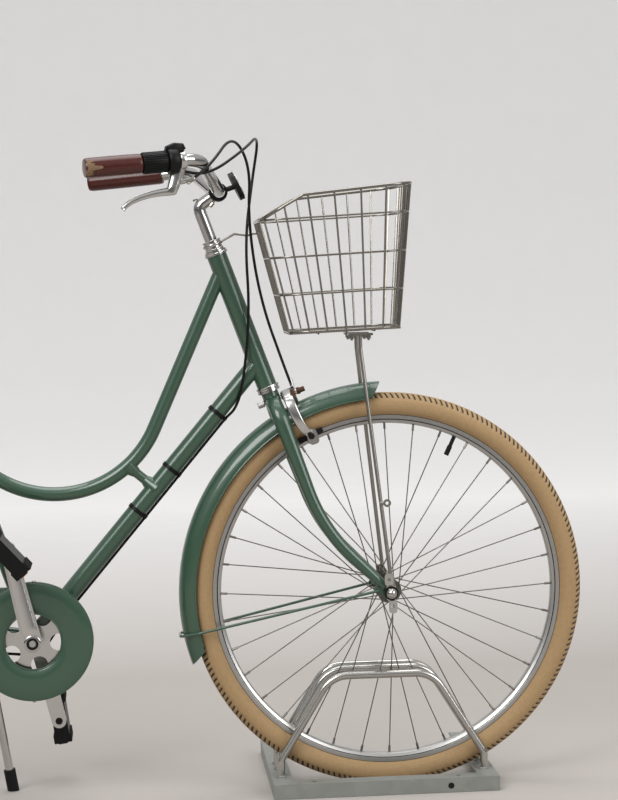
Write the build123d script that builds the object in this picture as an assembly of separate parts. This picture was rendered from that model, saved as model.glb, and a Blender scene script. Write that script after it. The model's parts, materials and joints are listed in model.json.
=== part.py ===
"""Retro step-through bicycle with a wire front basket, parked with its front wheel in a floor rack.

Millimetres. +X points forward, +Y to the rider's left, +Z up. The origin is on the floor, under the middle
of the bicycle's length, in its plane of symmetry.
"""

import os
from math import asin, atan2, cos, degrees, pi, radians, sin, sqrt, tan

from build123d import *

# Wheels
RIM_SEAT_D = 622.0      # bead seat diameter of a 28 inch wheel
RIM_W = 25.0
RIM_FLANGE_H = 7.5      # rim edge above the bead seat
RIM_DEPTH = 19.0        # rim edge to spoke face
RIM_WALL = 1.5
TYRE_W = 44.0
SPOKE_COUNT = 36
SPOKE_D = 2.0
SPOKE_CROSS_DEG = 60.0  # angle between a spoke's hub hole and its rim hole, three cross
FIT_GAP = 0.3           # gap between pieces that seat on each other
RUN_GAP = 0.05          # radial clearance of a shaft in its hole

# Layout of the frame, seen from the side
WHEELBASE = 1092.0
HEAD_ANGLE = 70.0       # steering axis above the horizontal, in degrees
FORK_RAKE = 71.0
AXLE_TO_CROWN = 408.0   # along the steering axis
HEAD_LEN = 250.0
BOTTOM_BRACKET_Z = 288.0
CHAINSTAY_LEN = 465.0
SEAT_ANGLE = 71.0
SEAT_TUBE_LEN = 480.0
TOP_TUBE_HEAD_DROP = 26.0   # top tube axis below the head tube's upper end
TOP_TUBE_ANGLE = 66.0
TOP_TUBE_BEND_R = 190.0
TOP_TUBE_LOW_Z = 541.0      # lowest point of the curved top tube's axis
TOP_TUBE_REAR_ANGLE = 35.0
DOWN_TUBE_HEAD_RISE = 46.0  # down tube axis above the head tube's lower end
STRUT_AT = 0.54             # place of the strut along the down tube, from the bottom bracket

# Tubes
HEAD_TUBE_D = 36.0
HEAD_BORE_D = 30.0
STEERER_D = 25.4
DOWN_TUBE_D = 31.8
TOP_TUBE_D = 25.4
SEAT_TUBE_D = 28.6
SEAT_POST_D = 25.4
STRUT_D = 17.0
STRUT_FLARE = 5.0
CHAINSTAY_D = 18.0
SEATSTAY_D = 14.0
BB_SHELL_D = 40.0
BB_SHELL_W = 68.0
DROPOUT_T = 5.0
DROPOUT_R = 15.0

# Fork
BLADE_TOP_Y = 44.0      # half spacing of the blades under the crown
BLADE_LONG_D = 28.0     # fore and aft
BLADE_WIDE_D = 22.0     # across
BLADE_TIP_D = 17.0
BLADE_STRAIGHT = 130.0
BLADE_BEND_DEG = 26.0
CROWN_DROP = 60.0       # crown race to the top of the blades
HUB_FRONT_W = 100.0     # between the fork ends
HUB_REAR_W = 120.0
AXLE_D = 10.0
NUT_D = 17.0
NUT_H = 8.0

# Headset and controls
CUP_H = 12.0
LOCKNUT_H = 27.0
STEM_D = 22.2
STEM_ELBOW = 353.0      # crown race to the stem's elbow
STEM_REACH = 41.5
STEM_RISE = 12.0
CLAMP_W = 42.0
CLAMP_D = 34.0
BAR_D = 22.2
BAR_HALF_W = 296.0
BAR_SWEEP = 225.0       # grip ends behind the clamp
BAR_RISE = 48.0
GRIP_D = 34.0
GRIP_RIGHT_LEN = 92.0
GRIP_LEFT_LEN = 138.0
TWIST_LEN = 44.0
TWIST_D = 37.0
SHIFTER_LEN = 18.0
SHIFTER_D = 46.0

CABLE_D = 5.0

# Mudguards
GUARD_GAP = 19.0        # tread to the inside of the mudguard's crest
GUARD_T = 1.0
GUARD_W = 58.0
FRONT_GUARD_DEG = (91.0, 200.0)
REAR_GUARD_DEG = (8.0, 192.0)
GUARD_POINT_DEG = 3.5   # how far the pointed ends run beyond the edges
STAY_D = 5.0

# Drive
CHAIN_PITCH = 12.7
RING_TEETH = 36
SPROCKET_TEETH = 18
CHAIN_LINE = 43.0
CHAIN_W = 7.0
CHAIN_H = 8.6
RING_T = 3.0
CRANK_LEN = 170.0
CRANK_T = 13.0
CRANK_Y = 74.0          # middle of the crank arms from the centre plane
CRANK_LEAN_DEG = 13.0   # right crank leans back from straight up
PEDAL_L = 92.0
PEDAL_W = 88.0
PEDAL_T = 26.0
PEDAL_TILT_DEG = (48.0, 82.0)   # right and left pedal, nose down
CASE_R = 105.0
CASE_HOLE_R = 48.5
CASE_Y = 58.0
CASE_DEPTH = 10.0
CASE_T = 1.5
CASE_BAR_H = (52.0, 44.0)       # height of the chain cover at its front and rear

# Basket, from the front axle. Rings are counted from the floor up.
BASKET_RINGS = 4
BASKET_RING_RISE = (65.5, 67.5)     # back, front
BASKET_FLOOR_Z = (467.0, 475.0)     # back, front, above the axle
BASKET_BACK_X = (-186.0, -232.0)    # floor, top
BASKET_FRONT_X = (10.0, 20.0)
BASKET_HALF_W = (96.0, 125.0)       # floor, top
BASKET_KINK = (-160.0, 707.0)       # where the sloping rim turns level
BASKET_RIM_FRONT_Z = 727.0
BASKET_CORNER_R = 24.0
BASKET_WIRE_D = 3.0
BASKET_RIM_D = 5.0
BASKET_UPRIGHTS = dict(side=6, back=9, front=7)
BASKET_STAY_X = -45.0
BASKET_STAY_Y = (36.0, 66.0)        # under the floor, at the axle
BASKET_STAY_D = 7.0

# Floor rack
RACK_TUBE_D = 14.0
RACK_SLOT = 68.0        # between the axes of the two hoops that hold the wheel
RACK_HOOP_Y = (-0.5, 0.5, 1.16)     # hoops across, in slots from the wheel's plane
RACK_FOOT_X = (-199.0, 168.0)       # hoop feet, from the front axle
RACK_TOP_X = (-107.0, 76.0)
RACK_TOP_Z = 204.0
RACK_BEND_R = 55.0
RACK_RAIL_H = 26.0
RACK_RAIL_W = 36.0
RACK_RAIL_T = 3.0
RACK_BASE_Y = (-104.0, 300.0)
RACK_HOLE_D = 9.0

# Kickstand
KICK_D = 15.0
KICK_PIVOT = (-85.0, 36.0, 250.0)   # from the bottom bracket: forward, left, and height above the floor
KICK_FOOT = (-46.0, 66.0)           # from the bottom bracket: forward, left
KICK_RUBBER_D = 21.0
KICK_RUBBER_H = 40.0
KICK_PIN_D = 8.0

# Seat
POST_SHOWN = 112.0
SADDLE_LEN = 265.0
SADDLE_REAR_R = 92.0
SADDLE_NOSE_R = 24.0
SADDLE_TOP_Z = 936.0
SADDLE_H = 46.0
SPRING_D = 34.0

# Derived places
TYRE_R = RIM_SEAT_D / 2 + TYRE_W
GUARD_R = TYRE_R + GUARD_GAP + GUARD_T
FRONT_X = (WHEELBASE + GUARD_R - TYRE_R) / 2
REAR_X = FRONT_X - WHEELBASE
AXLE_Z = TYRE_R
RIM_R = RIM_SEAT_D / 2 + RIM_FLANGE_H
FRONT_AXLE = Vector(FRONT_X, 0, AXLE_Z)
REAR_AXLE = Vector(REAR_X, 0, AXLE_Z)
BB_X = REAR_X + sqrt(CHAINSTAY_LEN**2 - (AXLE_Z - BOTTOM_BRACKET_Z) ** 2)
BB = Vector(BB_X, 0, BOTTOM_BRACKET_Z)
STEER_UP = Vector(-cos(radians(HEAD_ANGLE)), 0, sin(radians(HEAD_ANGLE)))
STEER_FORE = Vector(sin(radians(HEAD_ANGLE)), 0, cos(radians(HEAD_ANGLE)))
CROWN = FRONT_AXLE - STEER_FORE * FORK_RAKE + STEER_UP * AXLE_TO_CROWN
SEAT_UP = Vector(-cos(radians(SEAT_ANGLE)), 0, sin(radians(SEAT_ANGLE)))
RING_R = CHAIN_PITCH / (2 * sin(pi / RING_TEETH))
SPROCKET_R = CHAIN_PITCH / (2 * sin(pi / SPROCKET_TEETH))
LEFT = Vector(0, 1, 0)


def steer(forward, left, up):
    """Point in the steering frame: from the crown race, forward, left and up along the steering axis."""
    return CROWN + STEER_FORE * forward + LEFT * left + STEER_UP * up


def rod(start, end, diameter, tip_diameter=None):
    """Round bar, straight or tapered, between two points."""
    start, end = Vector(start), Vector(end)
    plane = Plane(start, z_dir=end - start)
    length = (end - start).length
    low = (Align.CENTER, Align.CENTER, Align.MIN)
    if tip_diameter is None or tip_diameter == diameter:
        return plane * Cylinder(diameter / 2, length, align=low)
    return plane * Cone(diameter / 2, tip_diameter / 2, length, align=low)


def bent(points, radius, diameter):
    """Round bar along straight runs joined by arcs. The radius is one number, or one for each corner."""
    path = FilletPolyline(*[Vector(p) for p in points], radius=radius)
    return sweep(Plane(path @ 0, z_dir=path % 0) * Circle(diameter / 2), path=path)


def across(centre, radius, half_width, inner=0.0):
    """Disc or ring about a line across the bicycle."""
    shape = Plane(Vector(centre) - LEFT * half_width, z_dir=LEFT) * Cylinder(
        radius, 2 * half_width, align=(Align.CENTER, Align.CENTER, Align.MIN))
    if inner:
        shape -= Plane(Vector(centre) - LEFT * (half_width + 1), z_dir=LEFT) * Cylinder(
            inner, 2 * half_width + 2, align=(Align.CENTER, Align.CENTER, Align.MIN))
    return shape


def side_plane(y):
    """Plane of a side view at a distance left of the middle: its x is forward and its y is up."""
    return Plane((0, y, 0), x_dir=(1, 0, 0), z_dir=(0, -1, 0))


def plate(face_at_origin_plane, y_low, y_high):
    """Flat plate between two distances left of the middle, from a sketch drawn in side view."""
    return extrude(side_plane(y_high) * face_at_origin_plane, y_high - y_low)


def about_axle(profile, centre, arc=360.0, start=0.0):
    """Turns a profile, drawn as (across, radius) points, about a wheel's axle. Angles rise from forward to up."""
    plane = Plane(centre, x_dir=LEFT, z_dir=Vector(1, 0, 0))
    turned = revolve(plane * profile, Axis(centre, -LEFT), arc)
    return turned.rotate(Axis(centre, -LEFT), start - 90)


def both_sides(shape):
    """A piece and its mirror image on the other side of the bicycle."""
    return [shape, mirror(shape, Plane.XZ)]


def save(name, *shapes):
    """Writes a node from one or more solids."""
    solids = [solid for shape in shapes for solid in shape.solids()]
    export_step(solids[0] if len(solids) == 1 else Compound(solids), f"parts/{name}.step")


def hull_of(*circles):
    """Outline around circles given as (forward, up, radius), drawn in side view."""
    return make_hull([e for x, z, r in circles for e in (Pos(x, z) * Circle(r)).edges()])


def meet(point, direction, other, other_direction):
    """Where two lines of the side view cross."""
    gap = Vector(other) - Vector(point)
    cross = direction.X * other_direction.Z - direction.Z * other_direction.X
    return Vector(point) + direction * ((gap.X * other_direction.Z - gap.Z * other_direction.X) / cross)


def polar(centre, radius, angle, y=0.0):
    """Point about a wheel's axle, its angle counted from forward to up."""
    return Vector(centre) + Vector(radius * cos(radians(angle)), y, radius * sin(radians(angle)))


def rim(centre):
    """Double-walled rim with two upright edges."""
    half, seat, foot = RIM_W / 2, RIM_SEAT_D / 2, RIM_R - RIM_DEPTH
    inside = half - RIM_WALL
    right = [(inside, seat), (inside, RIM_R), (half, RIM_R), (half, seat - 3), (0.7 * half, foot + 2), (0.35 * half, foot)]
    outline = right + [(-x, r) for x, r in reversed(right)]
    return about_axle(make_face(Polyline(*outline, close=True)), centre)


def tyre(centre):
    """Round balloon tyre seated between the rim's edges."""
    half, middle = TYRE_W / 2, RIM_SEAT_D / 2 + TYRE_W / 2
    bead, seat, lip = RIM_W / 2 - RIM_WALL - FIT_GAP, RIM_SEAT_D / 2 + FIT_GAP, RIM_R + FIT_GAP
    out = sqrt(half**2 - (middle - lip) ** 2)
    foot = Polyline((-out, lip), (-bead, lip), (-bead, seat), (bead, seat), (bead, lip), (out, lip))
    return about_axle(make_face(foot + ThreePointArc((out, lip), (0, TYRE_R), (-out, lip))), centre)


def laced_hub(centre, barrel_d, core_d, flange_d, flange_y, half_length):
    """Hub with its crossed spokes, which stop just short of the rim."""
    hub = across(centre, barrel_d / 2, flange_y + 4) + across(centre, core_d / 2, half_length)
    for y in (-flange_y, flange_y):
        hub += across(Vector(centre) + LEFT * y, flange_d / 2, 1.6)
    per_side = SPOKE_COUNT // 2
    step = 360 / per_side
    spokes = []
    for side in (-1, 1):
        for i in range(per_side):
            angle = i * step + (side + 1) * step / 4
            lead = 1 if i % 2 else -1
            start = polar(centre, flange_d / 2 - 3.5, angle + lead * SPOKE_CROSS_DEG, side * flange_y + lead * 2.3)
            end = polar(centre, RIM_R - RIM_DEPTH - FIT_GAP, angle, side * 3)
            spokes.append(rod(start, end, SPOKE_D))
    hub += spokes
    return hub - across(centre, AXLE_D / 2 + RUN_GAP, half_length + 1)


def hex_nut(centre, outward, height):
    """Six-sided nut with a washer, standing out from a point along the axle."""
    plane = Plane(centre, z_dir=LEFT * outward)
    nut = extrude(plane.offset(2) * RegularPolygon(NUT_D / 2, 6), height)
    return nut + plane * Cylinder(NUT_D / 2 + 2, 2, align=(Align.CENTER, Align.CENTER, Align.MIN))


def axle(centre, half_length, *nuts):
    """Wheel axle with nuts at the given distances from its middle on each end: (distance, height) each."""
    shape = across(centre, AXLE_D / 2, half_length)
    for side in (-1, 1):
        for distance, height in nuts:
            shape += hex_nut(Vector(centre) + LEFT * side * distance, side, height)
    return shape


def mudguard(centre, angles):
    """Half-round mudguard with pointed ends."""
    start, end = angles
    outer, inner = GUARD_W / 2, GUARD_W / 2 - GUARD_T
    base = GUARD_R - outer
    outline = ThreePointArc((outer, base), (0, GUARD_R), (-outer, base)) + Line((-outer, base), (-inner, base))
    outline += ThreePointArc((-inner, base), (0, base + inner), (inner, base)) + Line((inner, base), (outer, base))
    shell = about_axle(make_face(outline), centre, end - start, start)
    for tip, turn in ((start, 1), (end, -1)):
        corners = [(GUARD_R + 3, tip), (base - 3, tip + turn * GUARD_POINT_DEG), (base - 3, tip - turn * 6),
                   (GUARD_R + 3, tip - turn * 6)]
        points = [polar(centre, r, a) for r, a in corners]
        shell -= plate(make_face(Polyline(*[(p.X, p.Z) for p in points], close=True)), -GUARD_W, GUARD_W)
    return shell


def guard_stay(centre, eyelet, eyelet_y, angle):
    """Wire stay that runs from both fork or frame ends around the outside of a mudguard."""
    base = GUARD_R - GUARD_W / 2
    half = GUARD_W / 2 + STAY_D / 2 + 3.2
    right = [Vector(centre) + Vector(eyelet[0], -eyelet_y, eyelet[1]), polar(centre, base, angle, -half),
             polar(centre, base + half, angle, -0.6 * half)]
    left = [Vector(p.X, -p.Y, p.Z) for p in reversed(right)]
    return bent(right + left, 10, STAY_D)


def fork_crown():
    """Steerer tube on an arched crown whose ends carry the blades."""
    top = CUP_H + HEAD_LEN + LOCKNUT_H - 1
    shape = rod(steer(0, 0, -8), steer(0, 0, top), STEERER_D) + rod(steer(0, 0, -19), steer(0, 0, 0.5), 31)
    plane = Plane(steer(0, 0, -CROWN_DROP), x_dir=LEFT, z_dir=-STEER_UP)
    section = plane * Pos(BLADE_TOP_Y, 0) * Ellipse(BLADE_WIDE_D / 2, BLADE_LONG_D / 2)
    arch = revolve(section, Axis(steer(0, 0, -CROWN_DROP), STEER_FORE), 180)
    return shape + arch


def fork_blade(side):
    """Blade with a straight tapered top, a bend and a slim end that carries the axle plate."""
    tip_y = HUB_FRONT_W / 2 + DROPOUT_T / 2
    drop = AXLE_TO_CROWN - CROWN_DROP
    start, end = steer(0, side * BLADE_TOP_Y, -CROWN_DROP), steer(FORK_RAKE, side * tip_y, -AXLE_TO_CROWN)
    down = (steer(0, side * tip_y, -AXLE_TO_CROWN) - start).normalized()
    length = sqrt(drop**2 + (tip_y - BLADE_TOP_Y) ** 2)
    corner_at = length - FORK_RAKE / tan(radians(BLADE_BEND_DEG))
    corner = start + down * corner_at
    tangent = corner_at - BLADE_STRAIGHT
    last = (end - corner).normalized()
    bend_in, bend_out, tip = corner - down * tangent, corner + last * tangent, end - last * 13
    bend_d = (BLADE_LONG_D + BLADE_TIP_D) / 2
    blade = loft([Plane(start, x_dir=STEER_FORE, z_dir=down) * Ellipse(BLADE_LONG_D / 2, BLADE_WIDE_D / 2),
                  Plane(bend_in, x_dir=STEER_FORE, z_dir=down) * Circle(bend_d / 2)])
    bend = TangentArc(bend_in, bend_out, tangent=down)
    blade += sweep(Plane(bend_in, x_dir=STEER_FORE, z_dir=down) * Circle(bend_d / 2), path=bend)
    blade += rod(bend_out, tip, bend_d, BLADE_TIP_D)
    grip = end - last * 30
    outline = hull_of((end.X, end.Z, DROPOUT_R), (grip.X, grip.Z, 7)) + hull_of(
        (end.X, end.Z, 8), (end.X - 22, end.Z + 3, 6.5))
    low, high = sorted((side * HUB_FRONT_W / 2, side * (HUB_FRONT_W / 2 + DROPOUT_T)))
    blade += plate(outline, low, high)
    return blade - across(FRONT_AXLE, AXLE_D / 2 + RUN_GAP, 100)


def headset():
    """Locknut that turns with the fork, and the two cups that stay in the frame."""
    ring = rod(steer(0, 0, CUP_H + HEAD_LEN + 9), steer(0, 0, CUP_H + HEAD_LEN + LOCKNUT_H), 32)
    locknut = ring - rod(steer(0, 0, 0), steer(0, 0, 400), STEERER_D)
    cups = []
    for low, high in ((1.0, CUP_H), (CUP_H + HEAD_LEN, CUP_H + HEAD_LEN + 8)):
        cups.append(rod(steer(0, 0, low), steer(0, 0, high), 40) - rod(steer(0, 0, 0), steer(0, 0, 400), HEAD_BORE_D))
    return locknut, cups


BAR_CLAMP = steer(STEM_REACH, 0, STEM_ELBOW + STEM_RISE)
BAR_END = BAR_CLAMP + Vector(-BAR_SWEEP, -BAR_HALF_W, BAR_RISE - 16)
BAR_BEND = BAR_CLAMP + Vector(-40, -252, BAR_RISE)
GRIP_DIR = (BAR_BEND - BAR_END).normalized()


def on_bar(distance):
    """Point on the right hand end of the bar, measured from its tip."""
    return BAR_END + GRIP_DIR * distance


def other_side(point):
    """Mirror image of a point."""
    return Vector(point.X, -point.Y, point.Z)


def stem():
    """Quill stem with a forward extension and a round bar clamp."""
    shape = bent([steer(0, 0, CUP_H + HEAD_LEN + LOCKNUT_H), steer(0, 0, STEM_ELBOW), BAR_CLAMP], 14, STEM_D)
    shape += across(BAR_CLAMP, CLAMP_D / 2, CLAMP_W / 2)
    return shape - across(BAR_CLAMP, BAR_D / 2, CLAMP_W)


def handlebar():
    """Swept-back bar of one diameter."""
    inner = BAR_CLAMP + Vector(0, -62, 0)
    right = [BAR_END, BAR_BEND, inner]
    return bent(right + [other_side(p) for p in reversed(right)], [45, 50, 50, 45], BAR_D)


def sleeve(start, end, diameter):
    """Round sleeve on the right end of the bar, between two distances from the tip."""
    return rod(on_bar(start), on_bar(end), diameter) - rod(on_bar(0), on_bar(170), BAR_D)


def brake_lever():
    """Lever bracket clamped under the bar, and the lever blade."""
    middle = on_bar(163)
    pivot = middle + Vector(-20, -4, -52)
    bracket = rod(on_bar(156.5), on_bar(166.5), 34) - handlebar()
    knee = middle + Vector(0, 0, -36)
    bracket += rod(middle - Vector(0, 0, BAR_D / 2 + 2), knee, 8) + rod(knee, pivot, 15, 13)
    bracket += Plane(knee) * Sphere(7.5)
    back = Vector(-GRIP_DIR.X, -GRIP_DIR.Y, 0).normalized()
    points = [pivot, pivot + back * 34 + Vector(0, 0, -7), pivot + back * 84 + Vector(0, 0, -24)]
    blade = bent(points, 40, 9)
    return bracket, blade - bracket


def reflector():
    """Round reflector on a bracket that clamps the bar beside the stem."""
    y = -(CLAMP_W / 2 + 10)
    middle = BAR_CLAMP + LEFT * y
    ring = across(middle, 16, 5) - across(middle, BAR_D / 2, 9)
    facing = Vector(cos(radians(26)), 0, sin(radians(26)))
    centre = middle + Vector(28, 0, 8)
    disc = rod(centre, centre + facing * 9, 52)
    arm = rod(middle + (centre - middle) * 0.42, centre + facing * 3, 9)
    return ring + arm + disc


def caliper():
    """Side-pull brake arms on a bolt through the crown, with studs for the blocks, and the bolt's nut."""
    bolt_s = BLADE_TOP_Y - CROWN_DROP
    shape = rod(steer(33 / 2 + FIT_GAP, 0, bolt_s), steer(47, 0, bolt_s), 10)
    for side, fore in ((-1, 24.0), (1, 33.0)):
        plane = Plane(steer(fore, 0, 0), x_dir=LEFT, z_dir=STEER_FORE)
        line = [(0, bolt_s, 8), (side * 38, -26, 7), (side * 41, -74, 6), (side * 32, -97.5, 6)]
        for a, b in zip(line, line[1:]):
            shape += extrude(plane * hull_of(a, b), 8)
        shape += rod(steer(40, side * 22.8, -97.5), steer(40, side * 36, -97.5), 7)
        shape += rod(steer(fore + 4, side * 33, -97.5), steer(40, side * 33, -97.5), 7)
    nut = rod(steer(-28, 0, bolt_s), steer(-33 / 2 - FIT_GAP, 0, bolt_s), 11)
    return shape, nut


def brake_blocks():
    """Two rubber blocks that face the rim's side walls."""
    at = steer(40, 0, -97.5)
    radial = (at - FRONT_AXLE).normalized()
    blocks = []
    for side in (-1, 1):
        plane = Plane(at + LEFT * side * 18.6, x_dir=radial.cross(LEFT), z_dir=LEFT)
        blocks.append(plane * Box(48, 8, 8))
    return blocks


def basket_corner(ring, front, side):
    """Corner point of a ring of basket wire."""
    part = ring / (BASKET_RINGS - 1)
    x_low, x_high = BASKET_FRONT_X if front else BASKET_BACK_X
    y = BASKET_HALF_W[0] + part * (BASKET_HALF_W[1] - BASKET_HALF_W[0])
    z = BASKET_FLOOR_Z[front] + ring * BASKET_RING_RISE[front]
    return FRONT_AXLE + Vector(x_low + part * (x_high - x_low), side * y, z)


def rim_corner(side):
    """Front corner of the basket's rim."""
    top = basket_corner(BASKET_RINGS - 1, 1, side)
    return Vector(top.X + 3, top.Y + side * 4, FRONT_AXLE.Z + BASKET_RIM_FRONT_Z)


def rim_kink(side):
    """Point where the rim stops rising along the basket's side."""
    back, front = basket_corner(BASKET_RINGS - 1, 0, side), rim_corner(side)
    return Vector(FRONT_AXLE.X + BASKET_KINK[0], (back.Y + front.Y) / 2, FRONT_AXLE.Z + BASKET_KINK[1])


def straight_wire(start, end, diameter):
    """Wall wire between two corners, stopping where the bent corner pieces begin."""
    along = (end - start).normalized() * (BASKET_CORNER_R + 4)
    return rod(start + along, end - along, diameter)


def corner_wire(before, corner, after, diameter):
    """Bent corner piece of a ring."""
    reach = BASKET_CORNER_R + 4
    ends = [corner + (p - corner).normalized() * reach for p in (before, after)]
    return bent([ends[0], corner, ends[1]], BASKET_CORNER_R, diameter)


def uprights(low_start, low_end, high_at, count, inward):
    """Row of upright wires between the floor ring and the top of a wall, set on its inner side."""
    wires = []
    for i in range(count):
        part = 0.18 + 0.64 * i / (count - 1)
        low = low_start + (low_end - low_start) * part
        wires.append(rod(low + inward, high_at(part) + inward, BASKET_WIRE_D - 0.4))
    return wires


def basket_side(side):
    """Side wall with three level wires, the sloping rim and its uprights."""
    top = BASKET_RINGS - 1
    wall = []
    for ring in range(BASKET_RINGS):
        wall.append(straight_wire(basket_corner(ring, 0, side), basket_corner(ring, 1, side), BASKET_WIRE_D))
    back, kink, front = basket_corner(top, 0, side), rim_kink(side), rim_corner(side)
    run = (basket_corner(top, 1, side) - back).normalized() * (BASKET_CORNER_R + 4)
    foot = back + run
    end = front + (kink - front).normalized() * (BASKET_CORNER_R + 4)
    wall.append(bent([foot + run.normalized() * 5, kink, end], 40, BASKET_RIM_D))

    def high_at(part):
        x = back.X + (front.X - back.X) * part
        a, b = (foot, kink) if x < kink.X else (kink, front)
        return a + (b - a) * max(0, (x - a.X) / (b.X - a.X))

    wall += uprights(basket_corner(0, 0, side), basket_corner(0, 1, side), high_at, BASKET_UPRIGHTS["side"],
                     LEFT * -side * 1.2)
    return wall[0].fuse(*wall[1:])


def basket_end(front):
    """Back or front wall with its level wires, rim and uprights."""
    top = BASKET_RINGS - 1
    right, left = (rim_corner(-1), rim_corner(1)) if front else (basket_corner(top, 0, -1), basket_corner(top, 0, 1))
    wall = [straight_wire(right, left, BASKET_RIM_D)]
    for ring in range(BASKET_RINGS if front else top):
        wall.append(straight_wire(basket_corner(ring, front, -1), basket_corner(ring, front, 1), BASKET_WIRE_D))
    count = BASKET_UPRIGHTS["front" if front else "back"]
    wall += uprights(basket_corner(0, front, -1), basket_corner(0, front, 1), lambda part: right + (left - right) * part,
                     count, Vector(-1.2 if front else 1.2, 0, 0))
    return wall[0].fuse(*wall[1:])


def basket_corners():
    """All bent corner pieces of the rings and of the rim."""
    pieces = []
    top = BASKET_RINGS - 1
    for side in (-1, 1):
        for ring in range(BASKET_RINGS):
            back, front = basket_corner(ring, 0, side), basket_corner(ring, 1, side)
            back_d = BASKET_RIM_D if ring == top else BASKET_WIRE_D
            pieces.append(corner_wire(front, back, basket_corner(ring, 0, -side), back_d))
            pieces.append(corner_wire(back, front, basket_corner(ring, 1, -side), BASKET_WIRE_D))
        pieces.append(corner_wire(rim_kink(side), rim_corner(side), rim_corner(-side), BASKET_RIM_D))
    return pieces


def basket_floor():
    """Grille of the basket's floor, lying just under the lowest ring."""
    lower = Vector(0, 0, -BASKET_WIRE_D - 0.2)
    corners = {(f, s): basket_corner(0, f, s) + lower for f in (0, 1) for s in (-1, 1)}
    wires = []
    for i in range(7):
        part = 0.2 + 0.6 * i / 6
        ends = [corners[f, -1] + (corners[f, 1] - corners[f, -1]) * part for f in (0, 1)]
        wires.append(rod(ends[0], ends[1], BASKET_WIRE_D))
    for i in range(3):
        part = 0.25 + 0.25 * i
        ends = [corners[0, s] + (corners[1, s] - corners[0, s]) * part for s in (-1, 1)]
        wires.append(rod(ends[0] - Vector(0, 0, 1), ends[1] - Vector(0, 0, 1), BASKET_WIRE_D - 0.2))
    return wires[0].fuse(*wires[1:])


def basket_stay(side):
    """Rod stay from a plate under the basket down to an eye on the front axle."""
    low = basket_corner(0, 0, side).Z - 2 * BASKET_WIRE_D - 1.2
    x = FRONT_AXLE.X + BASKET_STAY_X
    floor_z = low + (BASKET_FLOOR_Z[1] - BASKET_FLOOR_Z[0]) * 0.72
    top = Vector(x, side * BASKET_STAY_Y[0], floor_z - 6)
    foot = FRONT_AXLE + Vector(0, side * BASKET_STAY_Y[1], 0)
    shape = bent([top, top - Vector(0, 0, 24), foot + Vector(0, 0, 26), foot + Vector(0, 0, 2)], 30, BASKET_STAY_D)
    shape += Pos(x, side * BASKET_STAY_Y[0], floor_z - 4.5) * Box(44, 22, 4)
    shape &= Pos(FRONT_AXLE.X, 0, 700) * Box(600, 2 * (BASKET_STAY_Y[1] + 1.7), 1000)
    eye = plate(hull_of((foot.X, foot.Z, 11), (foot.X, foot.Z + 24, 6)), *sorted(
        (side * (BASKET_STAY_Y[1] - 1.7), side * (BASKET_STAY_Y[1] + 1.7))))
    shape = shape - across(FRONT_AXLE, 12, 100) + eye
    return shape - across(FRONT_AXLE, AXLE_D / 2 + RUN_GAP, 100)


def basket_bracket(side):
    """Bent wire from the headset to the back of the basket."""
    start = steer(16.4, side * 8, CUP_H + HEAD_LEN + 20)
    back = basket_corner(2, 0, side) + (basket_corner(3, 0, side) - basket_corner(2, 0, side)) * 0.68
    end = Vector(back.X - 2.6, side * 8, back.Z)
    points = [start, start + Vector(24, 0, 13), end + Vector(-11, 0, -3), end]
    return bent(points, 5, 4)


def top_tube_line():
    """Corners of the top tube's axis: head, bend corner and seat tube, with the centre of its bend."""
    head = steer(0, 0, CUP_H + HEAD_LEN - TOP_TUBE_HEAD_DROP)
    fall, rise = radians(TOP_TUBE_ANGLE), radians(TOP_TUBE_REAR_ANGLE)
    first, second = Vector(-cos(fall), 0, -sin(fall)), Vector(-cos(rise), 0, sin(rise))
    normal = Vector(-sin(fall), 0, cos(fall))
    centre_z = TOP_TUBE_LOW_Z + TOP_TUBE_BEND_R
    centre_x = head.X + ((centre_z - head.Z) * normal.Z - TOP_TUBE_BEND_R) / -normal.X
    centre = Vector(centre_x, 0, centre_z)
    touch = centre + Vector(-sin(rise), 0, -cos(rise)) * TOP_TUBE_BEND_R
    return head, meet(head, first, touch, second), meet(touch, second, BB, SEAT_UP), centre


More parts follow.
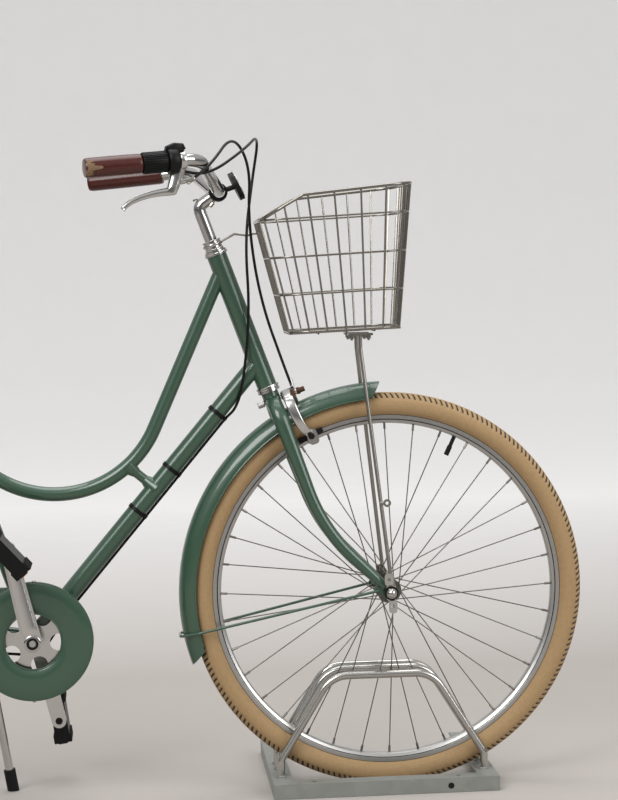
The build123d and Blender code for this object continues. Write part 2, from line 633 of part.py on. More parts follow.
def frame_tubes():
    """The frame's main tubes, each cut to fit the tube that it meets."""
    head_solid = rod(steer(0, 0, CUP_H), steer(0, 0, CUP_H + HEAD_LEN), HEAD_TUBE_D)
    head = head_solid - rod(steer(0, 0, 0), steer(0, 0, 400), HEAD_BORE_D)
    shell_solid = across(BB, BB_SHELL_D / 2, BB_SHELL_W / 2)
    seat_solid = rod(BB, BB + SEAT_UP * SEAT_TUBE_LEN, SEAT_TUBE_D)
    down_start = steer(0, 0, CUP_H + DOWN_TUBE_HEAD_RISE)
    down_solid = rod(BB, down_start, DOWN_TUBE_D)
    seat = seat_solid + rod(BB + SEAT_UP * (SEAT_TUBE_LEN - 26), BB + SEAT_UP * SEAT_TUBE_LEN, SEAT_TUBE_D + 6)
    seat = seat - shell_solid - down_solid
    down = down_solid - head_solid - shell_solid
    start, corner, end, centre = top_tube_line()
    top = bent([start, corner, end], TOP_TUBE_BEND_R, TOP_TUBE_D)
    strut_foot = BB + (down_start - BB) * STRUT_AT
    along = (down_start - BB).normalized()
    up = Vector(-along.Z, 0, along.X)
    gap = strut_foot - centre
    mid = gap.dot(up)
    reach = -mid - sqrt(mid**2 - gap.length**2 + TOP_TUBE_BEND_R**2)
    strut_top = strut_foot + up * reach
    strut = rod(strut_foot, strut_top, STRUT_D)
    strut += rod(strut_foot, strut_foot + up * (DOWN_TUBE_D / 2 + 9), STRUT_D + 4 * STRUT_FLARE, STRUT_D - 0.1)
    strut += rod(strut_top, strut_top - up * (TOP_TUBE_D / 2 + 9), STRUT_D + 3 * STRUT_FLARE, STRUT_D - 0.1)
    strut = strut - down_solid - top
    top = top - head_solid - seat_solid
    shell = shell_solid - across(BB, 17 / 2 + RUN_GAP, BB_SHELL_W)
    return dict(head_tube=head, down_tube=down, top_tube=top, seat_tube=seat, frame_strut=strut,
                bottom_bracket=shell), shell_solid, seat


def rear_stays(shell_solid, seat):
    """Chain stays with the axle plates, and seat stays joined by a bridge."""
    y_end = HUB_REAR_W / 2 + DROPOUT_T / 2
    back = (REAR_AXLE - BB).normalized()
    chain_stays, seat_pieces = [], []
    for side in (-1, 1):
        spots = [(16, 24.5), (76, 27), (126, 45), (CHAINSTAY_LEN - 27, y_end)]
        stay = bent([BB + back * d + LEFT * side * y for d, y in spots], 45, CHAINSTAY_D) - shell_solid
        outline = hull_of((REAR_X, AXLE_Z, DROPOUT_R), (REAR_X + 38, AXLE_Z - 6, 8)) + hull_of(
            (REAR_X, AXLE_Z, DROPOUT_R), (REAR_X + 20, AXLE_Z + 27, 7))
        stay += plate(outline, *sorted((side * HUB_REAR_W / 2, side * (HUB_REAR_W / 2 + DROPOUT_T))))
        chain_stays.append(stay - across(REAR_AXLE, AXLE_D / 2 + RUN_GAP, 100))
        low = REAR_AXLE + Vector(16, side * y_end, 21)
        high = BB + SEAT_UP * (SEAT_TUBE_LEN - 36)
        bend = high + (low - high).normalized() * 62
        points = [high + LEFT * side * 9, Vector(bend.X, side * 39, bend.Z), low]
        seat_pieces.append(bent(points, 40, SEATSTAY_D) - chain_stays[-1])
    top = BB + SEAT_UP * (SEAT_TUBE_LEN - 36)
    middle = top + (REAR_AXLE + Vector(16, 0, 21) - top).normalized() * 92
    bridge = rod(middle - LEFT * 40, middle + LEFT * 40, 11)
    return chain_stays, seat_pieces[0] + seat_pieces[1] + bridge - seat, middle


def saddle():
    """Broad saddle top, and the sprung frame under it with the post clamp."""
    post_top = BB + SEAT_UP * (SEAT_TUBE_LEN + POST_SHOWN)
    low = SADDLE_TOP_Z - SADDLE_H
    rear_x = post_top.X - SADDLE_LEN * 0.52 + SADDLE_REAR_R
    nose_x = rear_x - SADDLE_REAR_R + SADDLE_LEN - SADDLE_NOSE_R
    outline = make_hull((Pos(rear_x, 0) * Circle(SADDLE_REAR_R)).edges() + (Pos(nose_x, 0) * Circle(SADDLE_NOSE_R)).edges())
    top = extrude(Pos(0, 0, low) * outline, SADDLE_H)
    top = fillet(top.faces().sort_by(Axis.Z)[-1].edges(), 20)
    base = low - FIT_GAP
    frame = Pos(post_top.X, 0, post_top.Z + 8) * Box(34, 40, 22)
    frame -= rod(BB, post_top, SEAT_POST_D)
    for side in (-1, 1):
        spring_x = rear_x - 22
        rail = [Vector(nose_x - 12, side * 10, base - 2), Vector(nose_x - 30, side * 11, post_top.Z + 8),
                Vector(post_top.X, side * 17, post_top.Z + 8), Vector(spring_x, side * 50, post_top.Z + 2)]
        frame += bent(rail, [12, 60], 7)
        frame += Pos(spring_x, side * 52, 0) * rod((0, 0, post_top.Z - 6), (0, 0, base), SPRING_D)
    frame += rod((rear_x - 22, -52, post_top.Z - 2), (rear_x - 22, 52, post_top.Z - 2), 8)
    return top, frame


def belt(extra):
    """Outline around both chain wheels, a distance outside the chain's middle line."""
    return hull_of((BB.X, BB.Z, RING_R + extra), (REAR_X, AXLE_Z, SPROCKET_R + extra))


def chain():
    """Roller chain as a closed band."""
    band = belt(CHAIN_H / 2) - belt(-CHAIN_H / 2)
    return plate(band, -CHAIN_LINE - CHAIN_W / 2, -CHAIN_LINE + CHAIN_W / 2)


def chain_guard():
    """Hockey-stick chain guard: a disc with a round hole and a cover over the upper run, on two arms."""
    front_h, rear_h = CASE_BAR_H
    tail = (REAR_X + 86, AXLE_Z + SPROCKET_R - 8)

    def outline_at(inset):
        upper = hull_of((BB.X - 32, BB.Z + CASE_R - front_h / 2 - 10, front_h / 2 - inset), (*tail, rear_h / 2 - inset))
        return Pos(BB.X, BB.Z) * Circle(CASE_R - inset) + upper

    outline, inside = outline_at(0), outline_at(CASE_T)
    shape = plate(outline, -CASE_Y, -CASE_Y + CASE_DEPTH) - plate(inside, -CASE_Y + CASE_T, -CASE_Y + CASE_DEPTH + 1)
    shape += plate(Pos(BB.X, BB.Z) * Circle(CASE_HOLE_R + CASE_T), -CASE_Y - 1.5, -CASE_Y + 4)
    shape -= plate(Pos(BB.X, BB.Z) * Circle(CASE_HOLE_R), -CASE_Y - 3, 0)
    arm_y = (-BB_SHELL_W / 2 - 2.2, -BB_SHELL_W / 2 - 0.2)
    arms = Pos(BB.X, BB.Z) * Circle(24)
    for angle in (62, -38):
        tip = polar(BB, CASE_R - 10, angle)
        arms += hull_of((BB.X, BB.Z, 9), (tip.X, tip.Z, 6))
        shape += plate(Pos(tip.X, tip.Z) * Circle(5.5), -CASE_Y + 0.5, arm_y[1])
    shape += plate(arms, *arm_y)
    return shape - across(BB, 17 / 2 + 2, 100)


CRANK_UP = Vector(-sin(radians(CRANK_LEAN_DEG)), 0, cos(radians(CRANK_LEAN_DEG)))


def crank_arm(side):
    """Crank arm with the pedal's spindle."""
    eye = BB + CRANK_UP * (-side * CRANK_LEN)
    y_low, y_high = sorted((side * (CRANK_Y - CRANK_T / 2), side * (CRANK_Y + CRANK_T / 2)))
    arm = plate(hull_of((BB.X, BB.Z, 17), (eye.X, eye.Z, 13)), y_low, y_high)
    out = side * (CRANK_Y + CRANK_T / 2)
    arm += rod((eye.X, out - side, eye.Z), (eye.X, out + side * (PEDAL_W - 2), eye.Z), 9)
    return arm, eye


def cranks():
    """Right crank with its chain wheel, and left crank with the axle."""
    right, right_eye = crank_arm(-1)
    wheel = Pos(BB.X, BB.Z) * Circle(RING_R - CHAIN_H / 2 - FIT_GAP)
    for i in range(5):
        hole = polar(BB, 44, 90 + CRANK_LEAN_DEG + 36 + 72 * i)
        wheel -= Pos(hole.X, hole.Z) * Circle(15)
    right += plate(wheel, -CHAIN_LINE - RING_T / 2, -CHAIN_LINE + RING_T / 2)
    right += plate(Pos(BB.X, BB.Z) * Circle(19), -CRANK_Y, -CHAIN_LINE)
    bore = plate(Pos(BB.X, BB.Z) * Circle(17 / 2 + RUN_GAP), -CRANK_Y + 2, 0)
    left, left_eye = crank_arm(1)
    left += plate(Pos(BB.X, BB.Z) * Circle(17 / 2), -CRANK_Y + 2.3, CRANK_Y)
    left += plate(Pos(BB.X, BB.Z) * Circle(16), BB_SHELL_W / 2 + 3, CRANK_Y)
    return right - bore, left, right_eye, left_eye


def pedal(eye, side, tilt):
    """Block pedal with a bore for its spindle."""
    inner = CRANK_Y + CRANK_T / 2 + 5.5
    body = Pos(eye.X, side * (inner + PEDAL_W / 2), eye.Z) * Box(PEDAL_L, PEDAL_W, PEDAL_T)
    body = fillet(body.edges().filter_by(Axis.Y), 8)
    body -= rod((eye.X, side * inner - side, eye.Z), (eye.X, side * (inner + PEDAL_W - 6), eye.Z), 9 + 2 * RUN_GAP)
    return body.rotate(Axis((eye.X, 0, eye.Z), (0, 1, 0)), tilt)


def kickstand():
    """Bracket with its pin, leg with an eye, and rubber foot."""
    pivot = Vector(BB.X + KICK_PIVOT[0], KICK_PIVOT[1], KICK_PIVOT[2])
    foot = Vector(BB.X + KICK_FOOT[0], KICK_FOOT[1], 0)
    stay_z = BB.Z + (AXLE_Z - BB.Z) * -KICK_PIVOT[0] / (REAR_AXLE - BB).length
    top = stay_z - CHAINSTAY_D / 2 - 2 - FIT_GAP
    bracket = Pos(pivot.X, 0, top - 4) * Box(26, 76, 8)
    bracket += Pos(pivot.X, 19.5, (top + pivot.Z - 11) / 2) * Box(24, 13, top - pivot.Z + 11)
    pin = rod((pivot.X, 24, pivot.Z), (pivot.X, pivot.Y + 9.5, pivot.Z), KICK_PIN_D)
    head = rod((pivot.X, pivot.Y + 8.5, pivot.Z), (pivot.X, pivot.Y + 12, pivot.Z), KICK_PIN_D + 7)
    bracket += pin + head
    down = (foot - pivot).normalized()
    end = pivot + down * ((foot - pivot).length - KICK_RUBBER_H)
    leg = rod(pivot + down * 6, end, KICK_D) + across(pivot, 12, 7)
    leg = leg & Pos(pivot.X, pivot.Y + 93, 200) * Box(400, 200, 500)
    leg -= across(pivot, KICK_PIN_D / 2 + RUN_GAP, 20)
    leg -= Pos(pivot.X, pivot.Y + 17, pivot.Z) * Box(30, 19.4, 30)
    rubber = rod(end, foot + down * 6, KICK_RUBBER_D)
    rubber = rubber & Pos(foot.X, foot.Y, 100) * Box(200, 200, 200)
    return bracket, leg, rubber


def rack():
    """Floor rack: a rail and two cross bars of angle section, and three hoops of tube."""
    y_low, y_high = RACK_BASE_Y
    x_back, x_front = FRONT_X + RACK_FOOT_X[0] - RACK_RAIL_W / 2, FRONT_X + RACK_FOOT_X[1] + RACK_RAIL_W / 2
    h, t, w = RACK_RAIL_H, RACK_RAIL_T, RACK_RAIL_W
    base = None
    for x0, x1, y0, y1, wall in (
            (x_back, x_back + w, y_low, y_high, "back"),
            (x_front - w, x_front, y_low, y_high, "front"),
            (x_back, x_front, y_low, y_low + w, "side")):
        top = Pos((x0 + x1) / 2, (y0 + y1) / 2, h - t / 2) * Box(x1 - x0, y1 - y0, t)
        if wall == "side":
            skirt = Pos((x0 + x1) / 2, y_low + t / 2, h / 2) * Box(x1 - x0, t, h)
        else:
            edge = x_back + t / 2 if wall == "back" else x_front - t / 2
            skirt = Pos(edge, (y0 + y1) / 2, h / 2) * Box(t, y1 - y0, h)
        base = top + skirt if base is None else base + top + skirt
    for x in (x_back + 2 * w, x_front - 2 * w):
        base -= Pos(x, y_low + w / 2, h) * Cylinder(RACK_HOLE_D / 2, 20)
    hoops = []
    for slot in RACK_HOOP_Y:
        y = slot * RACK_SLOT
        foot_a, foot_b = FRONT_X + RACK_FOOT_X[0], FRONT_X + RACK_FOOT_X[1]
        top_a, top_b = FRONT_X + RACK_TOP_X[0], FRONT_X + RACK_TOP_X[1]
        points = [(foot_a, y, h), (foot_a, y, h + 30), (top_a, y, RACK_TOP_Z), (top_b, y, RACK_TOP_Z),
                  (foot_b, y, h + 30), (foot_b, y, h)]
        hoops.append(bent(points, [20, RACK_BEND_R, RACK_BEND_R, 20], RACK_TUBE_D))
    return base, hoops


def cables():
    """Brake cable, gear cable across the steering head, and gear cable along the frame."""
    head = steer(0, 0, CUP_H + DOWN_TUBE_HEAD_RISE)
    along = (BB - head).normalized()
    below = Vector(-along.Z, 0, along.X)
    lie = DOWN_TUBE_D / 2 + CABLE_D / 2 + FIT_GAP
    clip = head + along * 114 + below * lie

    def at(x, y, z):
        return Vector(FRONT_X + x, y, z)

    brake = [on_bar(160) + Vector(11, 3, -37), at(-312, -240, 1110), at(-270, -128, 1168), at(-236, -60, 1116),
             at(-241, -38, 1020), at(-222, -34, 880), at(-178, -30, 752), steer(40, -26, -6)]
    gear = [on_bar(154.3) + Vector(0, 14, -15), at(-318, -222, 1092), at(-250, -150, 1140), at(-216, 0, 1176),
            at(-230, 14, 1090), at(-246, -20, 985), at(-240, -26, 860), head + along * 45 + below * 2 - LEFT * 25,
            head + along * 88 + below * (lie + 3) - LEFT * 6, clip]
    frame_run = [clip + along * 0.8, BB - along * 80 + below * lie, BB + below * 27, BB + Vector(-10, -6, -31),
                 BB + Vector(-92, -32, -19), BB + Vector(-175, -54, 4), REAR_AXLE + Vector(70, -76, -16),
                 REAR_AXLE + Vector(17, -76, -4)]
    return (bent(brake, 26, CABLE_D), bent(gear, [14, 26, 30, 40, 40, 40, 20, 14], CABLE_D),
            bent(frame_run, [60, 8, 12, 20, 20, 20], CABLE_D))


def build():
    """Builds every node and writes it."""
    os.makedirs("parts", exist_ok=True)
    for name, centre, hub in (
            ("front", FRONT_AXLE, dict(barrel_d=30, core_d=18, flange_d=44, flange_y=34, half_length=HUB_FRONT_W / 2 - 1.5)),
            ("rear", REAR_AXLE, dict(barrel_d=56, core_d=26, flange_d=74, flange_y=28, half_length=HUB_REAR_W / 2 - 3))):
        save(f"{name}_rim", rim(centre))
        save(f"{name}_tyre", tyre(centre))
        laced = laced_hub(centre, **hub)
        if name == "rear":
            laced += across(centre - LEFT * CHAIN_LINE, SPROCKET_R - CHAIN_H / 2 - FIT_GAP, RING_T / 2, AXLE_D / 2 + RUN_GAP)
        save(f"{name}_hub", laced)
    inner_nut = BASKET_STAY_Y[1] - 1.7 - HUB_FRONT_W / 2 - DROPOUT_T - 2
    save("front_axle", axle(FRONT_AXLE, 82, (HUB_FRONT_W / 2 + DROPOUT_T, inner_nut), (BASKET_STAY_Y[1] + 1.7, NUT_H)))
    save("rear_axle", axle(REAR_AXLE, 80, (HUB_REAR_W / 2 + DROPOUT_T, NUT_H)))
    crown = fork_crown()
    save("fork_crown", crown)
    save("fork_blades", fork_blade(-1) - crown, fork_blade(1) - crown)
    locknut, cups = headset()
    save("headset_locknut", locknut)
    save("headset_cups", *cups)
    save("stem", stem())
    save("handlebar", handlebar())
    save("grip_right", sleeve(-5, GRIP_RIGHT_LEN, GRIP_D))
    save("grip_left", mirror(sleeve(-5, GRIP_LEFT_LEN, GRIP_D), Plane.XZ))
    twist_end = GRIP_RIGHT_LEN + TWIST_LEN
    save("gear_shifter", sleeve(GRIP_RIGHT_LEN + FIT_GAP, twist_end, TWIST_D)
         + sleeve(twist_end - 1, twist_end + SHIFTER_LEN, SHIFTER_D))
    bracket, lever = brake_lever()
    save("brake_lever_bracket", bracket)
    save("brake_lever", lever)
    save("front_reflector", reflector())
    save("brake_caliper", *caliper())
    save("brake_blocks", *brake_blocks())
    save("basket_sides", basket_side(-1), basket_side(1))
    save("basket_back", basket_end(0))
    save("basket_front", basket_end(1))
    save("basket_corners", *basket_corners())
    save("basket_floor", basket_floor())
    save("basket_stays", basket_stay(-1), basket_stay(1))
    save("basket_bracket", basket_bracket(-1), basket_bracket(1))
    front_guard = mudguard(FRONT_AXLE, FRONT_GUARD_DEG)
    hanger = rod(steer(0, 0, -44), steer(0, 0, BLADE_TOP_Y - CROWN_DROP - BLADE_WIDE_D / 2 - FIT_GAP), 9)
    hollow = about_axle(make_face(Polyline((-20, 300), (20, 300), (20, GUARD_R - 9), (0, GUARD_R - 0.5), (-20, GUARD_R - 9),
                                           close=True)), FRONT_AXLE)
    save("front_mudguard", front_guard + (hanger - hollow))
    save("front_mudguard_stays", guard_stay(FRONT_AXLE, (-22, 3), HUB_FRONT_W / 2 + DROPOUT_T + STAY_D / 2 + 3 * FIT_GAP, 191))
    tubes, shell_solid, seat = frame_tubes()
    for name, shape in tubes.items():
        save(name, shape)
    chain_stays, seat_stays, bridge = rear_stays(shell_solid, seat)
    save("chain_stays", *chain_stays)
    save("seat_stays", seat_stays)
    save("seat_post", rod(BB + SEAT_UP * SEAT_TUBE_LEN, BB + SEAT_UP * (SEAT_TUBE_LEN + POST_SHOWN), SEAT_POST_D))
    top, sprung = saddle()
    save("saddle", top)
    save("saddle_frame", sprung)
    rear_guard = mudguard(REAR_AXLE, REAR_GUARD_DEG)
    angle = 90 - SEAT_ANGLE
    reach = (REAR_AXLE - meet(REAR_AXLE, Vector(cos(radians(angle)), 0, sin(radians(angle))), BB, SEAT_UP)).length
    rear_guard += rod(polar(REAR_AXLE, GUARD_R - 0.6, angle), polar(REAR_AXLE, reach - SEAT_TUBE_D / 2 - FIT_GAP, angle), 10)
    out = (bridge - REAR_AXLE).normalized()
    rear_guard += rod(REAR_AXLE + out * (GUARD_R - 0.6), bridge - out * (11 / 2 + FIT_GAP), 8)
    save("rear_mudguard", rear_guard)
    rear_eye = HUB_REAR_W / 2 + DROPOUT_T + STAY_D / 2 + 3 * FIT_GAP
    save("rear_mudguard_stays", guard_stay(REAR_AXLE, (-4, 13), rear_eye, 122), guard_stay(REAR_AXLE, (-13, -2), rear_eye, 172))
    save("chain", chain())
    save("chain_guard", chain_guard())
    right, left, right_eye, left_eye = cranks()
    save("crank_right", right)
    save("crank_left", left)
    save("pedal_right", pedal(right_eye, -1, PEDAL_TILT_DEG[0]))
    save("pedal_left", pedal(left_eye, 1, PEDAL_TILT_DEG[1]))
    bracket, leg, rubber = kickstand()
    save("kickstand_bracket", bracket)
    save("kickstand_leg", leg)
    save("kickstand_foot", rubber)
    base, hoops = rack()
    save("rack_base", base)
    save("rack_hoops", *hoops)
    brake, gear, frame_run = cables()
    save("brake_cable", brake)
    save("gear_cable_upper", gear)
    save("gear_cable_lower", frame_run)


if __name__ == "__main__":
    build()
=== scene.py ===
import json
import logging
from dataclasses import dataclass, field
from enum import Enum
from functools import partial
from typing import Callable, Optional, Sequence

import bmesh
import bpy
import numpy as np
from bpy.types import ID, Material, Node, NodeSocket, NodeTree, Object
from mathutils import Matrix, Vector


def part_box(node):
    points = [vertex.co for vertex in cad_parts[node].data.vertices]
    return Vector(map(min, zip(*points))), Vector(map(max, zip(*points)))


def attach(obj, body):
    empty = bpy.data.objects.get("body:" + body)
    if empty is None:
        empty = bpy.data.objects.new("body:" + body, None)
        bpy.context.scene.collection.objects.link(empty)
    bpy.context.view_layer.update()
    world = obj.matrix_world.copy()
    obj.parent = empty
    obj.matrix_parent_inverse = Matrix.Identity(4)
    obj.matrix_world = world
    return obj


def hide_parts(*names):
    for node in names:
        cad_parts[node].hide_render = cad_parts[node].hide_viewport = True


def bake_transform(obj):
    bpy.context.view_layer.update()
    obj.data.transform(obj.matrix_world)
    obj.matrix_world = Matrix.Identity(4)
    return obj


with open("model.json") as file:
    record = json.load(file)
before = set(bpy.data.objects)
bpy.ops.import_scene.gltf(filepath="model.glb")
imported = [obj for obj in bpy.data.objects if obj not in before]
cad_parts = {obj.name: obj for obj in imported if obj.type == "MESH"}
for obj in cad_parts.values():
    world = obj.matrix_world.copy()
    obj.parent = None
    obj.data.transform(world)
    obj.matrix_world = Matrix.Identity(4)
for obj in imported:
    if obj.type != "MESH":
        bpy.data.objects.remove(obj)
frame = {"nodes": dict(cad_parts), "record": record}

# Looks of a retro step-through bicycle with a wire basket, parked in a floor rack.
# Lengths are millimetres unless a name says otherwise; MM turns them into scene units.
MM = 0.001
TURN = 2 * np.pi
LEFT = np.array([0.0, 1.0, 0.0])
UP = np.array([0.0, 0.0, 1.0])
FORWARD = np.array([1.0, 0.0, 0.0])
SIDES = (-1, 1)  # right and left
SHARP_ANGLE = 38.0  # edges that turn further than this stay sharp, in degrees
COAT_ROUGH = 0.06
GLOSS_SPREAD = 0.15  # share by which the grain changes the roughness
GROOVE_SLANT = 5.0  # how far the tread's grooves lean towards the walls
LOG = logging.getLogger("bicycle")
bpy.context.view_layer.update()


class Body(str, Enum):
    """Rigid bodies of the bicycle that pieces ride on."""

    FRONT_END = "front_end"
    FRAME = "frame"
    FRONT_WHEEL = "front_wheel"
    REAR_WHEEL = "rear_wheel"
    CRANKSET = "crankset"
    PEDAL_RIGHT = "pedal_right"
    PEDAL_LEFT = "pedal_left"
    KICKSTAND = "kickstand"


class Slot(str, Enum):
    """Material slots of the record."""

    GREEN = "green_paint"
    CHROME = "chrome"
    ALLOY = "bright_alloy"
    ZINC = "zinc_steel"
    LEATHER = "brown_leather"
    PLASTIC = "black_plastic"
    RUBBER = "black_rubber"
    TYRE = "cream_tyre"


# Colour and materials


def linear(hex_colour: str) -> tuple[float, float, float, float]:
    """Turns an sRGB hex colour into linear light.

    Args:
        hex_colour: Six hex digits after a hash sign.

    Returns:
        Linear red, green, blue and a full alpha.
    """
    parts = np.array([int(hex_colour[i:i + 2], 16) for i in (1, 3, 5)]) / 255.0
    light = np.where(parts <= 0.04045, parts / 12.92, ((parts + 0.055) / 1.055) ** 2.4)
    return (*light.tolist(), 1.0)


def add(tree: NodeTree, kind: str, inputs: Optional[dict] = None, **settings: object) -> Node:
    """Adds a shader node and sets or links its inputs.

    Args:
        tree: Node tree of the material.
        kind: Type name of the node.
        inputs: Values or sockets for each input name or number.
        **settings: Attributes of the node itself.

    Returns:
        The new node.
    """
    node = tree.nodes.new(kind)
    for name, value in settings.items():
        setattr(node, name, value)
    for name, value in (inputs or {}).items():
        if isinstance(value, NodeSocket):
            tree.links.new(value, node.inputs[name])
        else:
            node.inputs[name].default_value = value
    return node


def calc(tree: NodeTree, kind: str, first: object, second: object = 0.0) -> NodeSocket:
    """Adds a sum, product or other step of arithmetic.

    Args:
        tree: Node tree of the material.
        kind: Operation.
        first: First value or socket.
        second: Second value or socket.

    Returns:
        Socket with the result.
    """
    return add(tree, "ShaderNodeMath", {0: first, 1: second}, operation=kind).outputs[0]


def mixed(tree: NodeTree, part: NodeSocket, first: object, second: object) -> NodeSocket:
    """Adds a mix of two colours.

    Args:
        tree: Node tree of the material.
        part: Share of the second colour.
        first: First colour.
        second: Second colour.

    Returns:
        Colour socket.
    """
    return add(tree, "ShaderNodeMix", {0: part, 6: first, 7: second}, data_type="RGBA").outputs[2]


def ranged(tree: NodeTree, value: NodeSocket, low: float, high: float) -> NodeSocket:
    """Adds a ramp from 0 to 1 between two values.

    Args:
        tree: Node tree of the material.
        value: Value that is looked up.
        low: Value that gives 0.
        high: Value that gives 1.

    Returns:
        Socket with the share.
    """
    inputs = {"Value": value, "From Min": low, "From Max": high}
    return add(tree, "ShaderNodeMapRange", inputs).outputs["Result"]


@dataclass(frozen=True)
class Finish:
    """Plain surface with a fine grain in colour, gloss and relief.

    Attributes:
        name: Name of the real material.
        colour: sRGB hex colour.
        rough: Roughness of the surface.
        metal: 1 for bare metal, 0 otherwise.
        coat: Weight of a clear coat.
        grain: Size of the grain in millimetres.
        tint: How far the grain darkens the colour, 0 to 1.
        relief: Height of the grain in millimetres.
        shine: Strength of the reflection of a surface that is no metal.
    """

    name: str
    colour: str
    rough: float
    metal: float = 0.0
    coat: float = 0.0
    grain: float = 3.0
    tint: float = 0.08
    relief: float = 0.0
    shine: float = 0.5

    def pattern(self, tree: NodeTree, place: NodeSocket) -> NodeSocket:
        """Grain pattern.

        Args:
            tree: Node tree of the material.
            place: Object coordinates.

        Returns:
            Socket with values around 0 to 1.
        """
        inputs = {"Vector": place, "Scale": 1 / (self.grain * MM), "Detail": 4.0}
        return add(tree, "ShaderNodeTexNoise", inputs).outputs["Fac"]

    def colours(self, tree: NodeTree, place: NodeSocket, grain: NodeSocket) -> NodeSocket:
        """Colour of the surface, darkened a little by the grain.

        Args:
            tree: Node tree of the material.
            place: Object coordinates; not used here.
            grain: Grain pattern.

        Returns:
            Colour socket.
        """
        base = np.array(linear(self.colour))
        dark = base * np.array([1 - self.tint, 1 - self.tint, 1 - self.tint, 1.0])
        return mixed(tree, grain, tuple(dark), tuple(base))

    def material(self) -> Material:
        """Builds the material once.

        Returns:
            The material.
        """
        known = bpy.data.materials.get(self.name)
        if known:
            return known
        made = bpy.data.materials.new(self.name)
        made.use_nodes = True
        tree = made.node_tree
        shader = tree.nodes["Principled BSDF"]
        place = add(tree, "ShaderNodeTexCoord").outputs["Object"]
        grain = self.pattern(tree, place)
        tree.links.new(self.colours(tree, place, grain), shader.inputs["Base Color"])
        low, high = ((1 + sign * GLOSS_SPREAD) * self.rough for sign in (-1, 1))
        gloss = {"Value": grain, "To Min": low, "To Max": high}
        rough = add(tree, "ShaderNodeMapRange", gloss).outputs["Result"]
        tree.links.new(rough, shader.inputs["Roughness"])
        values = {"Metallic": self.metal, "Specular IOR Level": self.shine, "Coat Weight": self.coat,
                  "Coat Roughness": COAT_ROUGH}
        for name, value in values.items():
            shader.inputs[name].default_value = value
        if self.relief:
            relief = {"Height": grain, "Distance": self.relief * MM, "Strength": 1.0}
            tree.links.new(add(tree, "ShaderNodeBump", relief).outputs["Normal"], shader.inputs["Normal"])
        LOG.info("material %s", self.name)
        return made


@dataclass(frozen=True)
class Spangle(Finish):
    """Zinc coat whose crystals show as flat patches of grey."""

    def pattern(self, tree: NodeTree, place: NodeSocket) -> NodeSocket:
        """Patchwork of crystals.

        Args:
            tree: Node tree of the material.
            place: Object coordinates.

        Returns:
            Socket with one value for each crystal.
        """
        cells = add(tree, "ShaderNodeTexVoronoi", {"Vector": place, "Scale": 1 / (self.grain * MM)})
        return add(tree, "ShaderNodeSeparateColor", {"Color": cells.outputs["Color"]}).outputs["Red"]


@dataclass(frozen=True)
class TyreRubber(Finish):
    """Pale tyre rubber with painted shade in its slanted tread grooves and fine dark rings on its wall.

    Attributes:
        centre: Axle's place forward and up.
        ribs: Grooves around the tyre.
        half: Half width of the tyre.
        crest: Distance from the wheel's plane that stays free of grooves.
        edge: Radius outside which the grooves lie.
        groove_shade: sRGB hex colour of the painted shade in the grooves, which the fine rings share.
        groove_shade_sines: Sines of the tooth angle between which the painted shade sets in.
        ring_step: Distance between the fine rings of the wall.
        ring_edge: Sine above which a ring shows.
        ring_darkening: Share of the dark colour in a ring.
    """

    centre: tuple[float, float] = (0.0, 0.0)
    ribs: int = 216
    half: float = 22.0
    crest: float = 6.0
    edge: float = 345.0
    # Painted shade of the tread's grooves: its colour and where it sets in.
    groove_shade: str = "#2b231b"
    groove_shade_sines: tuple[float, float] = (0.1, 0.5)
    ring_step: float = 4.5
    ring_edge: float = 0.93
    ring_darkening: float = 0.16

    def colours(self, tree: NodeTree, place: NodeSocket, grain: NodeSocket) -> NodeSocket:
        """Rubber colour with painted shade in the tread where the sine of the tooth angle is high, and fine
        dark rings.

        Args:
            tree: Node tree of the material.
            place: Object coordinates.
            grain: Grain pattern.

        Returns:
            Colour socket.
        """
        math = partial(calc, tree)
        axes = add(tree, "ShaderNodeSeparateXYZ", {"Vector": place}).outputs
        away = math("ABSOLUTE", axes["Y"])
        forward = math("SUBTRACT", axes["X"], self.centre[0] * MM)
        up = math("SUBTRACT", axes["Z"], self.centre[1] * MM)
        turn = math("MULTIPLY", math("ARCTAN2", up, forward), float(self.ribs))
        slant = math("MULTIPLY", math("ARCSINE", math("DIVIDE", away, self.half * MM)), GROOVE_SLANT)
        wave = math("SINE", math("ADD", turn, slant))
        groove = ranged(tree, wave, *self.groove_shade_sines)
        reach = math("SQRT", math("ADD", math("POWER", forward, 2.0), math("POWER", up, 2.0)))
        outside = math("GREATER_THAN", reach, self.edge * MM)
        beside = math("GREATER_THAN", away, self.crest * MM)
        tread = math("MULTIPLY", groove, math("MULTIPLY", outside, beside))
        ripple = math("SINE", math("MULTIPLY", reach, TURN / (self.ring_step * MM)))
        rings = math("MULTIPLY", math("GREATER_THAN", ripple, self.ring_edge), self.ring_darkening)
        wall = super().colours(tree, place, grain)
        # Painted shade in the grooves and the fine dark rings go over the rubber's colour.
        return mixed(tree, math("MAXIMUM", tread, rings), wall, linear(self.groove_shade))


@dataclass(frozen=True)
class Backdrop(Finish):
    """Painted wall that runs down into a greyer floor.

    Attributes:
        floor: sRGB hex colour of the floor.
        fade: Distances behind the bicycle where the floor's colour begins and ends to turn into the wall's.
        glow: Light that the wall gives back from lamps out of view.
    """

    floor: str = "#a9a39e"
    fade: tuple[float, float] = (1200.0, 5200.0)
    glow: float = 0.15

    def colours(self, tree: NodeTree, place: NodeSocket, grain: NodeSocket) -> NodeSocket:
        """Mix of floor and wall by the distance behind the bicycle.

        Args:
            tree: Node tree of the material.
            place: Object coordinates.
            grain: Grain pattern.

        Returns:
            Colour socket.
        """
        behind = add(tree, "ShaderNodeSeparateXYZ", {"Vector": place}).outputs["Y"]
        part = ranged(tree, behind, *(distance * MM for distance in self.fade))
        wall = super().colours(tree, place, grain)
        shader = tree.nodes["Principled BSDF"]
        tree.links.new(calc(tree, "MULTIPLY", part, self.glow), shader.inputs["Emission Strength"])
        tree.links.new(wall, shader.inputs["Emission Color"])
        return mixed(tree, part, linear(self.floor), wall)


